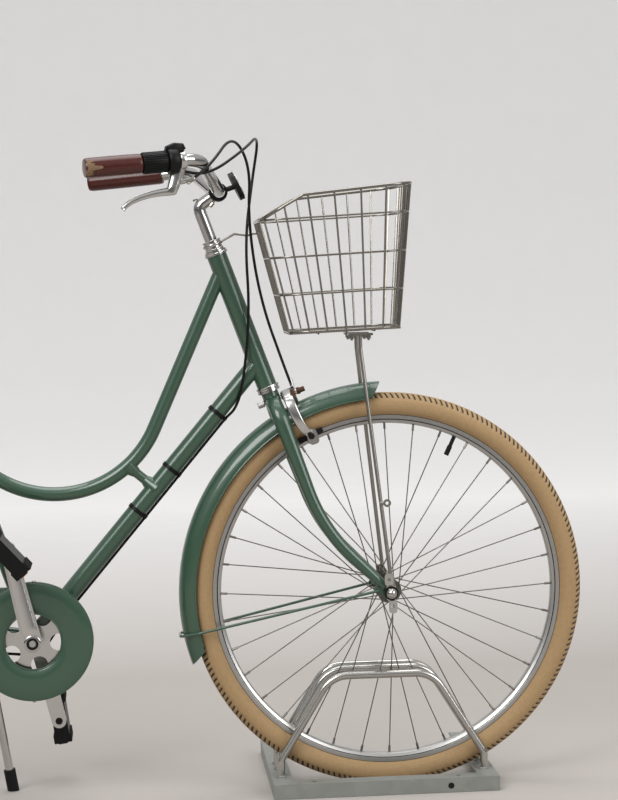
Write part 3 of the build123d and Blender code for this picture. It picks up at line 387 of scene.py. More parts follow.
GREEN = Finish("gloss green enamel", "#2d4c39", 0.32, coat=0.65, grain=60, tint=0.1)
CHROME = Finish("chrome plated steel", "#b9b8b5", 0.12, metal=1.0, grain=15, tint=0.12)
BASKET_STEEL = Finish("bright basket wire", "#928e87", 0.2, metal=1.0, grain=12, tint=0.25)
ALLOY = Finish("polished aluminium", "#c9c8c5", 0.2, metal=1.0, grain=8, tint=0.14)
RIM_ALLOY = Finish("satin rim aluminium", "#b6b5b2", 0.32, metal=1.0, grain=5, tint=0.12)
SPOKE_STEEL = Finish("dull spoke steel", "#7b766f", 0.32, metal=1.0, grain=4, tint=0.3)
STEEL = Finish("zinc plated steel", "#a29e97", 0.3, metal=1.0, grain=5, tint=0.25)
HOOP_STEEL = Finish("galvanised tube", "#bdbbb6", 0.2, metal=1.0, grain=20, tint=0.2)
GALVANISED = Spangle("galvanised sheet", "#8b8d88", 0.5, metal=0.35, grain=16, tint=0.1)
GRIP_LEATHER = Finish("red brown leather", "#4c1a12", 0.24, grain=5, tint=0.5, relief=0.08, shine=0.45)
WORN_LEATHER = Finish("worn bare leather", "#97795a", 0.85, grain=3.0, tint=0.9, relief=0.6)
SADDLE_LEATHER = Finish("brown saddle leather", "#4a2219", 0.4, coat=0.1, grain=2.0, tint=0.3, relief=0.2)
THREAD = Finish("waxed linen thread", "#7d5a40", 0.8, grain=1, tint=0.2)
PLASTIC = Finish("black nylon", "#0b0b0b", 0.42, grain=1.5, tint=0.2, relief=0.04, shine=0.22)
RUBBER = Finish("black rubber", "#0a0a0a", 0.65, grain=1.2, tint=0.25, relief=0.06, shine=0.25)
CABLE = Finish("black cable sheath", "#070707", 0.35, grain=2, tint=0.1, shine=0.25)
CHAIN_STEEL = Finish("oiled chain steel", "#5d574e", 0.4, metal=1.0, grain=4, tint=0.3)
RUST = Finish("rusted brass", "#61412d", 0.6, metal=0.5, grain=1.2, tint=0.5, relief=0.08)
AMBER = Finish("amber reflector plastic", "#d9700f", 0.2, coat=0.6, grain=2, tint=0.25, relief=0.15)
CLEAR = Finish("clear reflector plastic", "#c8c8c4", 0.15, coat=0.8, grain=2.4, tint=0.3, relief=0.2)
# Blackened steel for nuts and washers, and the dark colour of painted shade in the rim's grooves, the crank's
# recesses and the rail's hole.
DARK_STEEL_AND_SHADE = Finish("blackened steel and painted shade", "#1c1a18", 0.45, metal=0.6, grain=3, tint=0.3)
PAPER = Backdrop("matt white wall paint", "#f6f5f4", 0.85, grain=130, tint=0.06)

NODE_FINISH = {
    GREEN: "fork_crown fork_blades front_mudguard front_mudguard_stays head_tube top_tube down_tube "
           "seat_tube frame_strut bottom_bracket chain_stays seat_stays rear_mudguard rear_mudguard_stays "
           "chain_guard",
    CHROME: "headset_locknut headset_cups stem handlebar seat_post front_axle rear_axle",
    ALLOY: "crank_right crank_left kickstand_leg kickstand_bracket",
    RIM_ALLOY: "front_rim rear_rim",
    SPOKE_STEEL: "front_hub rear_hub",
    STEEL: "basket_stays basket_bracket",
    GALVANISED: "rack_base",
    HOOP_STEEL: "rack_hoops",
    PLASTIC: "front_reflector pedal_right pedal_left",
    RUBBER: "brake_blocks kickstand_foot",
    CABLE: "gear_cable_lower",
}


# Mesh tools


def vec(*parts: float) -> np.ndarray:
    """Vector of plain numbers.

    Args:
        *parts: Forward, left and up.

    Returns:
        The vector.
    """
    return np.array(parts, float)


def full_turn(count: int) -> np.ndarray:
    """Even steps around a full turn.

    Args:
        count: Number of steps.

    Returns:
        Angles in radians.
    """
    return np.linspace(0, TURN, count, endpoint=False)


def outline(count: int, wide: float, tall: float, power: float = 1.0) -> np.ndarray:
    """Closed outline about the origin.

    Args:
        count: Points around it.
        wide: Half width.
        tall: Half height.
        power: 1 for an oval, less for a box with round corners.

    Returns:
        Points of the outline.
    """
    angle = full_turn(count)
    circle = np.stack([np.cos(angle), np.sin(angle)], -1)
    return np.sign(circle) * np.abs(circle) ** power * np.array([wide, tall])


def run_length(path: np.ndarray) -> np.ndarray:
    """Way along a path to each of its points.

    Args:
        path: Points of the path.

    Returns:
        One length for each point.
    """
    return np.concatenate([[0], np.cumsum(np.linalg.norm(np.diff(path, axis=0), axis=1))])


def spaced(path: np.ndarray, count: int) -> np.ndarray:
    """Evenly spread points along a path that ends where it starts.

    Args:
        path: Points of the path.
        count: Number of points.

    Returns:
        The points.
    """
    far = run_length(path)
    at = np.linspace(0, far[-1], count, endpoint=False)
    return np.stack([np.interp(at, far, path[:, axis]) for axis in range(3)], -1)


def taper(path: np.ndarray, parts: Sequence[float], sizes: Sequence[float]) -> np.ndarray:
    """Sizes along a path.

    Args:
        path: Points of the path.
        parts: Shares of the path where the size is given.
        sizes: Size at each of those.

    Returns:
        One size for each point.
    """
    return np.interp(np.linspace(0, 1, len(path)), parts, sizes)


def linked(name: str, data: ID) -> Object:
    """Makes an object and adds it to the scene.

    Args:
        name: Name of the object.
        data: Its mesh, lamp or camera.

    Returns:
        The new object.
    """
    made = bpy.data.objects.new(name, data)
    bpy.context.scene.collection.objects.link(made)
    return made


def put(made: Object, axes: Sequence[np.ndarray], place: Sequence[float]) -> None:
    """Turns and moves an object.

    Args:
        made: The object.
        axes: Directions of its three axes.
        place: Its place in metres.
    """
    matrix = np.eye(4)
    matrix[:3, :3], matrix[:3, 3] = np.stack(axes, -1), place
    made.matrix_world = Matrix(matrix.tolist())


def unit(vector: np.ndarray) -> np.ndarray:
    """Scales vectors to length one.

    Args:
        vector: One vector or rows of vectors.

    Returns:
        Vectors of length one.
    """
    return vector / np.linalg.norm(vector, axis=-1, keepdims=True)


def rounded(points: Sequence[np.ndarray], radius: float, steps: int = 8) -> np.ndarray:
    """Path along straight runs whose corners are arcs.

    Args:
        points: Corner points in order.
        radius: Arc radius, made smaller where a run is too short for it.
        steps: Points along each arc.

    Returns:
        Points of the path.
    """
    corners = [np.asarray(p, float) for p in points]
    path = [corners[0][None]]
    for before, corner, after in zip(corners, corners[1:], corners[2:]):
        to, away = unit(before - corner), unit(after - corner)
        half = np.arccos(np.clip(to @ away, -1, 1)) / 2
        reach = min(np.linalg.norm(before - corner), np.linalg.norm(after - corner)) * 0.48
        arm = min(radius / np.tan(half), reach)
        turn = np.pi - 2 * half
        if turn < 1e-3:
            continue
        middle = corner + unit(to + away) * (arm / np.cos(half))
        start = corner + to * arm - middle
        side = unit(-to - start * ((-to @ start) / (start @ start)))
        angle = np.linspace(0, turn, steps)[:, None]
        path.append(middle + start * np.cos(angle) + side * np.linalg.norm(start) * np.sin(angle))
    path.append(corners[-1][None])
    return np.concatenate(path)


def eased(points: Sequence[np.ndarray], rounds: int = 4) -> np.ndarray:
    """Soft curve along a list of points: each round cuts every corner at a quarter of its runs.

    Args:
        points: Points of the route in order.
        rounds: How often the corners are cut.

    Returns:
        Points of the curve, with the same ends.
    """
    path = np.array(points, float)
    for _ in range(rounds):
        near, far = 0.75 * path[:-1] + 0.25 * path[1:], 0.25 * path[:-1] + 0.75 * path[1:]
        inner = np.stack([near, far], 1).reshape(-1, 3)
        path = np.concatenate([path[:1], inner, path[-1:]])
    return path


class Shape:
    """Mesh in the making, put together from grids of points in millimetres."""

    def __init__(self, name: str) -> None:
        """Starts an empty mesh.

        Args:
            name: Name of the piece.
        """
        self.name = name
        self.points: list[np.ndarray] = []
        self.faces: list[list[int]] = []
        self.count = 0

    def grid(self, points: np.ndarray, wrap_rows: bool = False, wrap_columns: bool = False,
             cap: bool = False) -> "Shape":
        """Adds a surface through rows and columns of points.

        Args:
            points: Points as rows, columns and three coordinates.
            wrap_rows: Joins the last row to the first.
            wrap_columns: Joins the last column to the first.
            cap: Closes the first and last row with a flat face.

        Returns:
            This shape.
        """
        rows, columns = points.shape[:2]
        down, right = np.arange(rows - (not wrap_rows)), np.arange(columns - (not wrap_columns))
        i, j = np.meshgrid(down, right, indexing="ij")
        row, after, beside = i * columns, (i + 1) % rows * columns, (j + 1) % columns
        quads = np.stack([row + j, after + j, after + beside, row + beside], -1)
        self.faces += (quads.reshape(-1, 4) + self.count).tolist()
        if cap:
            ring = np.arange(columns)
            last = ring + (rows - 1) * columns
            self.faces += [(ring[::-1] + self.count).tolist(), (last + self.count).tolist()]
        self.points.append(points.reshape(-1, 3))
        self.count += rows * columns
        return self

    def tube(self, path: np.ndarray, radius: "float | np.ndarray", sides: int = 14, closed: bool = False,
             section: Optional[np.ndarray] = None, across: Optional[np.ndarray] = None) -> "Shape":
        """Adds a bar along a path: a section set square to the path at each of its points.

        Args:
            path: Points of the path.
            radius: One radius, or one for each point.
            sides: Points around a round section.
            closed: Joins the end of the path to its start.
            section: Outline of unit size instead of a circle.
            across: Direction that the section's first axis keeps to.

        Returns:
            This shape.
        """
        along = np.gradient(path, axis=0)
        if closed:
            along = np.roll(path, -1, 0) - np.roll(path, 1, 0)
        along = unit(along)
        if across is None:
            across = np.linalg.svd(along, full_matrices=True)[2][-1]
        first = unit(across - along * (along @ across)[:, None])
        second = np.cross(along, first)
        if section is None:
            angle = np.arange(sides) * TURN / sides
            section = np.stack([np.cos(angle), np.sin(angle)], -1)
        size = np.broadcast_to(np.asarray(radius, float), (len(path),))[:, None, None]
        ring = section[None, :, :1] * first[:, None] + section[None, :, 1:] * second[:, None]
        return self.grid(path[:, None] + size * ring, wrap_rows=closed, wrap_columns=True, cap=not closed)

    def rod(self, start: np.ndarray, end: np.ndarray, radius: float, sides: int = 20,
            bevel: float = 0.6) -> "Shape":
        """Adds a straight bar with bevelled ends, or a nut where it has six sides.

        Args:
            start: First end.
            end: Second end.
            radius: Radius to the corners.
            sides: Number of sides.
            bevel: Size of the bevel.

        Returns:
            This shape.
        """
        start, end = np.asarray(start, float), np.asarray(end, float)
        step = unit(end - start) * bevel
        path = np.stack([start, start + step, end - step, end])
        return self.tube(path, np.array([radius - bevel, radius, radius, radius - bevel]), sides)

    def lathe(self, centre: np.ndarray, axis: np.ndarray, profile: Sequence[tuple[float, float]],
              sides: int = 48, closed: bool = False,
              ripple: Optional[Callable[[np.ndarray], np.ndarray]] = None) -> "Shape":
        """Adds a turned surface: a profile swung about an axis.

        Args:
            centre: Point on the axis.
            axis: Direction of the axis.
            profile: Pairs of distance along the axis and radius.
            sides: Steps around the axis.
            closed: Joins the profile's end to its start.
            ripple: Radius added at each angle.

        Returns:
            This shape.
        """
        axis = unit(np.asarray(axis, float))
        first = unit(np.cross(axis, UP if abs(axis[2]) < 0.9 else FORWARD))
        second = np.cross(axis, first)
        angle = np.arange(sides) * TURN / sides
        spoke = np.cos(angle)[:, None] * first + np.sin(angle)[:, None] * second
        along, radius = np.asarray(profile, float).T
        reach = np.broadcast_to(radius[:, None], (len(radius), sides))
        if ripple is not None:
            reach = reach + ripple(angle)[None]
        points = np.asarray(centre, float) + along[:, None, None] * axis + reach[:, :, None] * spoke[None]
        return self.grid(points, wrap_rows=closed, wrap_columns=True, cap=not closed)

    def plate(self, middle: np.ndarray, first: np.ndarray, second: np.ndarray,
              size: tuple[float, float, float], hole: float) -> "Shape":
        """Adds a flat plate with round corners and a hole: loops of box and circle on both faces.

        Args:
            middle: Centre of the plate.
            first: Direction of its width.
            second: Direction of its height.
            size: Half width, half height and thickness.
            hole: Radius of the hole.

        Returns:
            This shape.
        """
        box, circle = outline(48, size[0], size[1], 0.55), outline(48, hole, hole)
        out = np.cross(first, second) * size[2] / 2
        loops = [middle + face * out + loop[:, :1] * first + loop[:, 1:] * second
                 for face, loop in ((-1, circle), (-1, box), (1, box), (1, circle))]
        return self.grid(np.stack(loops), wrap_rows=True, wrap_columns=True)

    def copies(self, template: "Shape", places: np.ndarray, axes: np.ndarray) -> "Shape":
        """Adds a shape again and again at many places.

        Args:
            template: Shape drawn about the origin.
            places: Origin of each copy.
            axes: Three unit axes of each copy, as rows.

        Returns:
            This shape.
        """
        local = np.concatenate(template.points)
        points = np.einsum("vk,nkc->nvc", local, axes) + places[:, None]
        for index in range(len(places)):
            base = self.count + index * template.count
            self.faces += [[base + corner for corner in face] for face in template.faces]
        self.points.append(points.reshape(-1, 3))
        self.count += template.count * len(places)
        return self

    def build(self, finish: Finish, body: Body, slot: Slot, *replaced: str, ride: bool = True) -> Object:
        """Makes the object, gives it its finish and lets it ride on a body.

        Args:
            finish: Surface of the piece.
            body: Body that carries it.
            slot: Material slot of the record; not used.
            *replaced: CAD nodes that the piece stands for.
            ride: Whether it rides on the one body.

        Returns:
            The new object.
        """
        mesh = bpy.data.meshes.new(self.name)
        mesh.from_pydata((np.concatenate(self.points) * MM).tolist(), [], self.faces)
        work = bmesh.new()
        work.from_mesh(mesh)
        bmesh.ops.recalc_face_normals(work, faces=work.faces)
        work.to_mesh(mesh)
        work.free()
        mesh.shade_smooth()
        mesh.set_sharp_from_angle(angle=np.radians(SHARP_ANGLE))
        mesh.materials.append(finish.material())
        made = linked(self.name, mesh)
        if ride:
            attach(made, body.value)
        if replaced:
            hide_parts(*replaced)
        LOG.info("piece %s: %d faces on %s", self.name, len(self.faces), body.value)
        return made


def joint_place(name: str) -> np.ndarray:
    """Place of a joint.

    Args:
        name: Name of the joint.

    Returns:
        Its point in millimetres.
    """
    found = next(j for j in frame["record"]["behaviour"]["joints"] if j["name"] == name)
    return np.array(found["pos_m"]) / MM


def node_box(name: str) -> tuple[np.ndarray, np.ndarray]:
    """Extent of a CAD node.

    Args:
        name: Name of the node.

    Returns:
        Lowest and highest corner in millimetres.
    """
    low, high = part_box(name)
    return np.array(low) / MM, np.array(high) / MM


@dataclass(frozen=True)
class Layout:
    """Places that several sub-assemblies share, taken from the joints.

    Attributes:
        head_angle: Steering axis above the horizontal, in degrees.
        front_axle: Middle of the front axle.
        rear_axle: Middle of the rear axle.
        bottom: Middle of the cranks' axle.
        crown: Crown race on the steering axis.
    """

    head_angle: float = 70.0
    front_axle: np.ndarray = field(default_factory=lambda: joint_place("front_wheel_spin"))
    rear_axle: np.ndarray = field(default_factory=lambda: joint_place("rear_wheel_spin"))
    bottom: np.ndarray = field(default_factory=lambda: joint_place("crank_spin"))
    crown: np.ndarray = field(default_factory=lambda: joint_place("steering"))

    def steer(self, forward: float, left: float, up: float) -> np.ndarray:
        """Point in the steering frame.

        Args:
            forward: Distance ahead of the steering axis, square to it.
            left: Distance to the left.
            up: Distance along the axis from the crown race.

        Returns:
            The point.
        """
        angle = np.radians(self.head_angle)
        fore = vec(np.sin(angle), 0, np.cos(angle))
        rise = vec(-np.cos(angle), 0, np.sin(angle))
        return self.crown + fore * forward + LEFT * left + rise * up


LAYOUT = Layout()


def polar(centre: np.ndarray, radius: "float | np.ndarray", angle: "float | np.ndarray",
          left: float = 0.0) -> np.ndarray:
    """Point about an axle.

    Args:
        centre: Middle of the axle.
        radius: Distance from the axle.
        angle: Angle from forward to up, in degrees.
        left: Distance to the left.

    Returns:
        The point or points.
    """
    turn = np.radians(angle)
    flat = np.cos(turn)[..., None] * FORWARD + np.sin(turn)[..., None] * UP
    return centre + LEFT * left + np.asarray(radius)[..., None] * flat


# Sub-assemblies


@dataclass
class Wheel:
    """Tyre with its tread, spoke nipples, painted rim shade lines and valve of one wheel.

    Attributes:
        name: Which wheel.
        body: Body of the wheel.
        centre: Middle of the axle.
        flange: Spoke circle radius and half spacing of the hub's flanges.
        seat_radius: Radius of the rim seat.
        tyre_width: Width of the tyre.
        rim_half: Half width between the rim's edges.
        ribs: Tread ribs around the tyre.
        rib_depth: Depth of the tread.
        tread: Where the grooves begin and end, in degrees from the crest.
        valve_angle: Angle of the valve in degrees.
        spokes: Number of spokes.
        lead: Angle from a spoke's rim end to its hub end.
        nipple_radius: Radius at which the spokes meet the rim.
        nipple: Length and radius of a nipple.
        shade_line_radii: Radii of the dark lines of painted shade on the rim's flanks.
    """

    name: str
    body: Body
    centre: np.ndarray
    flange: tuple[float, float]
    seat_radius: float = 311.0
    tyre_width: float = 44.0
    rim_half: float = 10.7
    ribs: int = 216
    rib_depth: float = 1.5
    tread: tuple[float, float] = (16.0, 61.0)
    valve_angle: float = 65.0
    spokes: int = 36
    lead: float = 60.0
    nipple_radius: float = 299.2
    nipple: tuple[float, float] = (13.0, 2.1)
    shade_line_radii: tuple[float, float] = (315.0, 306.5)

    def tyre(self) -> None:
        """Tyre as a turned grid: a round section with slanted grooves cut into its tread."""
        half, middle = self.tyre_width / 2, self.seat_radius + self.tyre_width / 2
        foot = np.arccos(self.rim_half / half)
        # The section runs round from one bead to the other; zero is the crest.
        around = np.linspace(-np.pi / 2 - foot, np.pi / 2 + foot, 45)
        steps = self.ribs * 6
        angle = np.arange(steps)[:, None] * TURN / steps
        across, height = np.sin(around)[None], np.cos(around)[None]
        lean = np.degrees(np.abs(around))[None]
        slant = angle * self.ribs + GROOVE_SLANT * np.abs(around)[None]
        groove = 0.5 + 0.5 * np.tanh(3.0 * np.sin(slant))
        begin, end = self.tread
        shoulder = np.clip((lean - begin) / 4, 0, 1) * np.clip((end - lean) / 6, 0, 1)
        lines = 0.6 * np.exp(-((lean - 9) / 1.8) ** 2)
        radius = half - self.rib_depth * (shoulder * groove + lines)
        reach = middle + radius * height
        left = np.broadcast_to(radius * across, reach.shape)
        points = self.centre + np.stack([reach * np.cos(angle), left, reach * np.sin(angle)], -1)
        rubber = TyreRubber(f"cream {self.name} tyre rubber", "#a98b62", 0.75, grain=7, tint=0.3, relief=0.06,
                            centre=(self.centre[0], self.centre[2]), ribs=self.ribs, half=half)
        Shape(f"{self.name}_tyre_tread").grid(points, wrap_rows=True, wrap_columns=True).build(
            rubber, self.body, Slot.TYRE, f"{self.name}_tyre")

    def nipples(self) -> None:
        """Spoke nipples, set along each spoke at the rim."""
        per_side = self.spokes // 2
        index = np.arange(per_side)
        template = Shape("nipple").rod(np.zeros(3), FORWARD * self.nipple[0], self.nipple[1], 8, 0.5)
        shape = Shape(f"{self.name}_nipples")
        for side in SIDES:
            angle = index * 360 / per_side + (side + 1) * 90 / per_side
            lead = np.where(index % 2, self.lead, -self.lead)
            end = polar(self.centre, self.nipple_radius, angle, side * 3.0)
            start = polar(self.centre, self.flange[0], angle + lead, side * self.flange[1])
            along = unit(start - end)
            second = unit(np.cross(along, np.broadcast_to(LEFT, along.shape)))
            axes = np.stack([along, second, np.cross(along, second)], 1)
            shape.copies(template, end - along * 2.0, axes)
        shape.build(SPOKE_STEEL, self.body, Slot.ALLOY)

    def rim_shade_lines(self) -> None:
        """Painted shade of the grooves around the rim's flanks: fine dark rings that lie half sunk in it."""
        low, high = node_box(f"{self.name}_rim")
        # Fine dark rings of painted shade along the rim's grooves.
        shape = Shape(f"{self.name}_rim_shade_lines")
        angle = np.arange(240) * 1.5
        for reach in self.shade_line_radii:
            for side, face in ((-1, low[1]), (1, high[1])):
                line = polar(self.centre, reach, angle, face - side * 0.25)
                shape.tube(line, 0.7, 8, closed=True, across=LEFT)
        shape.build(DARK_STEEL_AND_SHADE, self.body, Slot.ALLOY)

    def valve(self) -> None:
        """Valve with a black cap that points at the hub."""
        inner = self.seat_radius - 10
        shape = Shape(f"{self.name}_valve")
        steps = ((inner, inner - 22, 3.6), (inner - 20, inner - 38, 4.6))
        for high, low, radius in steps:
            start, end = (polar(self.centre, reach, self.valve_angle) for reach in (high, low))
            shape.rod(start, end, radius, 16)
        shape.build(RUBBER, self.body, Slot.RUBBER)

    def dress(self) -> None:
        """Builds all pieces of the wheel."""
        self.tyre()
        self.nipples()
        self.rim_shade_lines()
        self.valve()


@dataclass
class Controls:
    """Bar ends, grips, twist shifter, lever fittings and reflector lens.

    Attributes:
        bar_sweep: Grip ends behind the clamp.
        bar_half: Grip ends beside the clamp.
        bar_rise: Grip end and bend above the clamp.
        bend: Bend behind and beside the clamp.
        grip_radius: Radius of the leather grips.
        grip_lengths: Right and left grip.
        twist: Length of the twist sleeve and of the shifter's body.
        lever_at: Brake lever's distance from the tip.
        pivot_drop: Lever's pivot from the bar.
        stop_drop: Lever's cable stop from the bar.
        outlet_at: Brake cable's distance from the tip.
        outlet_drop: Start of the brake cable from the bar.
        lens_tilt: Reflector's look upwards, in degrees.
        clamp: Middle of the bar in its clamp.
    """

    bar_sweep: float = 225.0
    bar_half: float = 296.0
    bar_rise: tuple[float, float] = (32.0, 48.0)
    bend: tuple[float, float] = (40.0, 252.0)
    grip_radius: float = 17.0
    grip_lengths: tuple[float, float] = (92.0, 138.0)
    twist: tuple[float, float] = (44.0, 18.0)
    lever_at: float = 163.0
    pivot_drop: tuple[float, float, float] = (-20.0, -4.0, -52.0)
    stop_drop: tuple[float, float, float] = (0.0, 0.0, -36.0)
    outlet_at: float = 160.0
    outlet_drop: tuple[float, float, float] = (11.0, 3.0, -37.0)
    lens_tilt: float = 26.0
    clamp: np.ndarray = field(default_factory=lambda: LAYOUT.steer(41.5, 0, 365))

    def on_bar(self, distance: float, side: int = -1) -> np.ndarray:
        """Point on a bar end.

        Args:
            distance: Distance from the tip.
            side: -1 for the right end and 1 for the left.

        Returns:
            The point.
        """
        end = self.clamp + vec(-self.bar_sweep, side * self.bar_half, self.bar_rise[0])
        bend = self.clamp + vec(-self.bend[0], side * self.bend[1], self.bar_rise[1])
        return end + unit(bend - end) * distance

    def along(self, side: int = -1) -> np.ndarray:
        """Direction of a bar end, away from its tip.

        Args:
            side: -1 for the right end and 1 for the left.

        Returns:
            The direction.
        """
        return unit(self.on_bar(1, side) - self.on_bar(0, side))

    def lever_points(self) -> tuple[np.ndarray, np.ndarray, np.ndarray]:
        """Places of the brake lever.

        Returns:
            Its place on the bar, its pivot and its cable stop.
        """
        middle = self.on_bar(self.lever_at)
        return middle, middle + vec(*self.pivot_drop), middle + vec(*self.stop_drop)

    def brake_outlet(self) -> np.ndarray:
        """Start of the brake cable.

        Returns:
            The point.
        """
        return self.on_bar(self.outlet_at) + vec(*self.outlet_drop)

    def grip(self, side: int, length: float, name: str) -> None:
        """Leather grip: a sleeve with a soft swell, a rolled end and a laced seam below.

        Args:
            side: -1 for the right grip and 1 for the left.
            length: Length of the grip.
            name: CAD node that it stands for.
        """
        place = np.concatenate([[-5, -4.4, -2.5, 0], np.linspace(4, length - 4, 30), [length - 1.5, length]])
        swell = 0.5 * np.sin(np.clip(place / length, 0, 1) * np.pi) - 0.5
        radius = self.grip_radius + swell
        radius[:3] = self.grip_radius - np.array([5.0, 2.2, 0.9])
        radius[-2:] = self.grip_radius - np.array([0.9, 2.4])
        path = self.on_bar(0, side) + (self.on_bar(1, side) - self.on_bar(0, side)) * place[:, None]
        Shape(f"{name}_leather").tube(path, radius, 40, across=UP).build(
            GRIP_LEATHER, Body.FRONT_END, Slot.LEATHER, name)
        along = self.along(side)
        out = unit(np.cross(along, UP)) * -side
        seam = unit(0.35 * out - UP)
        beside = np.cross(along, seam)
        stitches = Shape(f"{name}_stitches")
        for at in np.arange(6, length - 4, 5.0):
            middle = self.on_bar(at, side) + seam * (self.grip_radius - 0.3)
            ends = [middle - beside * 2.2 - along * 1.2, middle + seam * 0.5,
                    middle + beside * 2.2 + along * 1.2]
            stitches.tube(np.array(ends), 0.55, 8)
        stitches.build(THREAD, Body.FRONT_END, Slot.LEATHER)

    def torn_end(self) -> None:
        """Worn patch at the tip of the right grip, a ragged sheet that lies just proud of the leather."""
        along = self.along()
        out = unit(np.cross(along, UP))
        angle = np.linspace(-0.95, 0.75, 60)
        part = np.linspace(0, 1, 9)
        flap = 20 * np.exp(-((angle + 0.05) / 0.16) ** 2)
        ragged = 9 + 5 * np.abs(np.sin(angle * 7)) * np.cos(angle * 1.6) + 3 * np.sin(angle * 23) + flap
        place = -4.2 + part[:, None] * np.maximum(ragged, 2.0)[None]
        radius = np.interp(place, [-5, -2.5, 0, 8, 30], [13.2, 16.6, 17.0, 17.15, 17.2])
        spoke = np.cos(angle)[:, None] * out + np.sin(angle)[:, None] * UP
        points = self.on_bar(0) + place[..., None] * along + radius[..., None] * spoke[None]
        sheet = np.concatenate([points, (points - 0.5 * spoke[None])[::-1]])
        Shape("grip_right_torn_end").grid(sheet, wrap_rows=True).build(
            WORN_LEATHER, Body.FRONT_END, Slot.LEATHER)

    def shifter(self) -> None:
        """Twist shifter: a ribbed sleeve that meets a smooth body with a cable outlet."""
        start = self.grip_lengths[0] + 0.3
        end = start + self.twist[0]
        along = self.along()
        long, short = self.twist
        sleeve = [(0, 15.0), (0.8, 17.6), (3, 18.3), (long - 3, 18.3), (long, 17.0)]
        shape = Shape("gear_shifter_twist")
        shape.lathe(self.on_bar(start), along, sleeve, 240,
                    ripple=lambda angle: 0.5 * np.sign(np.sin(30 * angle)) - 0.5)
        body = [(-1.0, 17.5), (0.5, 21.5), (3, 22.8), (short - 3, 22.8), (short - 0.6, 21), (short, 16)]
        shape.lathe(self.on_bar(end), along, body, 64)
        shape.build(PLASTIC, Body.FRONT_END, Slot.PLASTIC, "gear_shifter")
        outlet, mouth = self.on_bar(end + 12) + vec(0, 10, -17), self.on_bar(end + 24) + vec(0, 14, -18)
        Shape("gear_shifter_outlet").rod(outlet, mouth, 5, 14).build(PLASTIC, Body.FRONT_END, Slot.PLASTIC)

    def lever(self) -> None:
        """Brake lever: a clamp ring with a cast arm, and a blade that tapers to a round tip."""
        middle, pivot, stop = self.lever_points()
        along = self.along()
        back = unit(-along * vec(1, 1, 0))
        bracket = Shape("brake_lever_body")
        ring = [(-6, 12.5), (-5.5, 15.5), (-4, 16.6), (4, 16.6), (5.5, 15.5), (6, 12.5)]
        bracket.lathe(self.on_bar(161.5), along, ring, 48)
        drops = ((-8, 0, -10), (-12, -1, -28), (-17, -3, -44), self.pivot_drop)
        arm = eased([middle + vec(*drop) for drop in drops], 3)
        flat = outline(24, 0.62, 1.0)
        bracket.tube(arm, taper(arm, [0, 0.4, 1], [14.0, 11.0, 8.5]), section=flat, across=LEFT)
        bracket.rod(stop + vec(-6, 0, 0), stop + vec(12, 3, 5), 5.2, 20, 0.8)
        bracket.build(ALLOY, Body.FRONT_END, Slot.ALLOY, "brake_lever_bracket")
        line = [(-8, 2), (4, 0), (22, -2), (44, -7), (66, -15), (80, -25), (84, -30)]
        blade = eased([pivot + back * reach + UP * rise for reach, rise in line], 3)
        size = taper(blade, [0, 0.12, 0.5, 0.86, 0.95, 1], [5.0, 7.5, 5.4, 4.2, 5.4, 3.5])
        Shape("brake_lever_blade").tube(blade, size, section=flat, across=LEFT).build(
            ALLOY, Body.FRONT_END, Slot.ALLOY, "brake_lever")

    def window(self) -> None:
        """Housing on top of the shifter's body, where the gear number would show."""
        along = self.along()
        start = sum(self.twist) + self.grip_lengths[0] - 16
        line = ((-3, 15), (0, 18), (10, 21), (22, 20), (25, 16))
        path = np.stack([self.on_bar(start + far) + UP * rise for far, rise in line])
        shape = Shape("gear_shifter_window")
        shape.tube(path, np.array([6.0, 11, 12, 11, 7]), section=outline(32, 1.0, 0.75, 0.4),
                   across=np.cross(along, UP))
        shape.build(PLASTIC, Body.FRONT_END, Slot.PLASTIC)

    def small_fittings(self) -> None:
        """Lever pivot screw, cable barrel, stem bolt and the two clamp bolts."""
        _, pivot, stop = self.lever_points()
        screws = Shape("lever_pivot_screw").rod(pivot + vec(0, -5.5, 2), pivot + vec(0, -9.5, 2), 5, 6)
        screws.rod(stop + vec(4, 0, 1), stop + vec(17, 3, 5), 4.2, 16)
        screws.rod(LAYOUT.steer(0, 0, 365), LAYOUT.steer(0, 0, 368.5), 5.5, 6)
        low = self.clamp - LAYOUT.steer(0, 0, 1) + LAYOUT.crown
        for side in SIDES:
            screws.rod(low + vec(-8, side * 8.0, -17), low + vec(-14, side * 8.0, -24), 3.6, 6)
        screws.build(STEEL, Body.FRONT_END, Slot.ZINC)

    def lens(self) -> None:
        """Clear lens on the reflector's front face, slightly domed."""
        tilt = np.radians(self.lens_tilt)
        facing = vec(np.cos(tilt), 0, np.sin(tilt))
        centre = self.clamp + vec(28, -31.0, 8) + facing * 9.1
        dome = [(0, 23.5), (1.2, 23), (2.2, 19), (2.6, 10), (2.7, 0.5)]
        Shape("front_reflector_lens").lathe(centre, facing, dome, 56).build(
            CLEAR, Body.FRONT_END, Slot.PLASTIC)

    def dress(self) -> None:
        """Builds all pieces of the bar."""
        self.grip(-1, self.grip_lengths[0], "grip_right")
        self.grip(1, self.grip_lengths[1], "grip_left")
        self.torn_end()
        self.shifter()
        self.window()
        self.lever()
        self.small_fittings()
        self.lens()


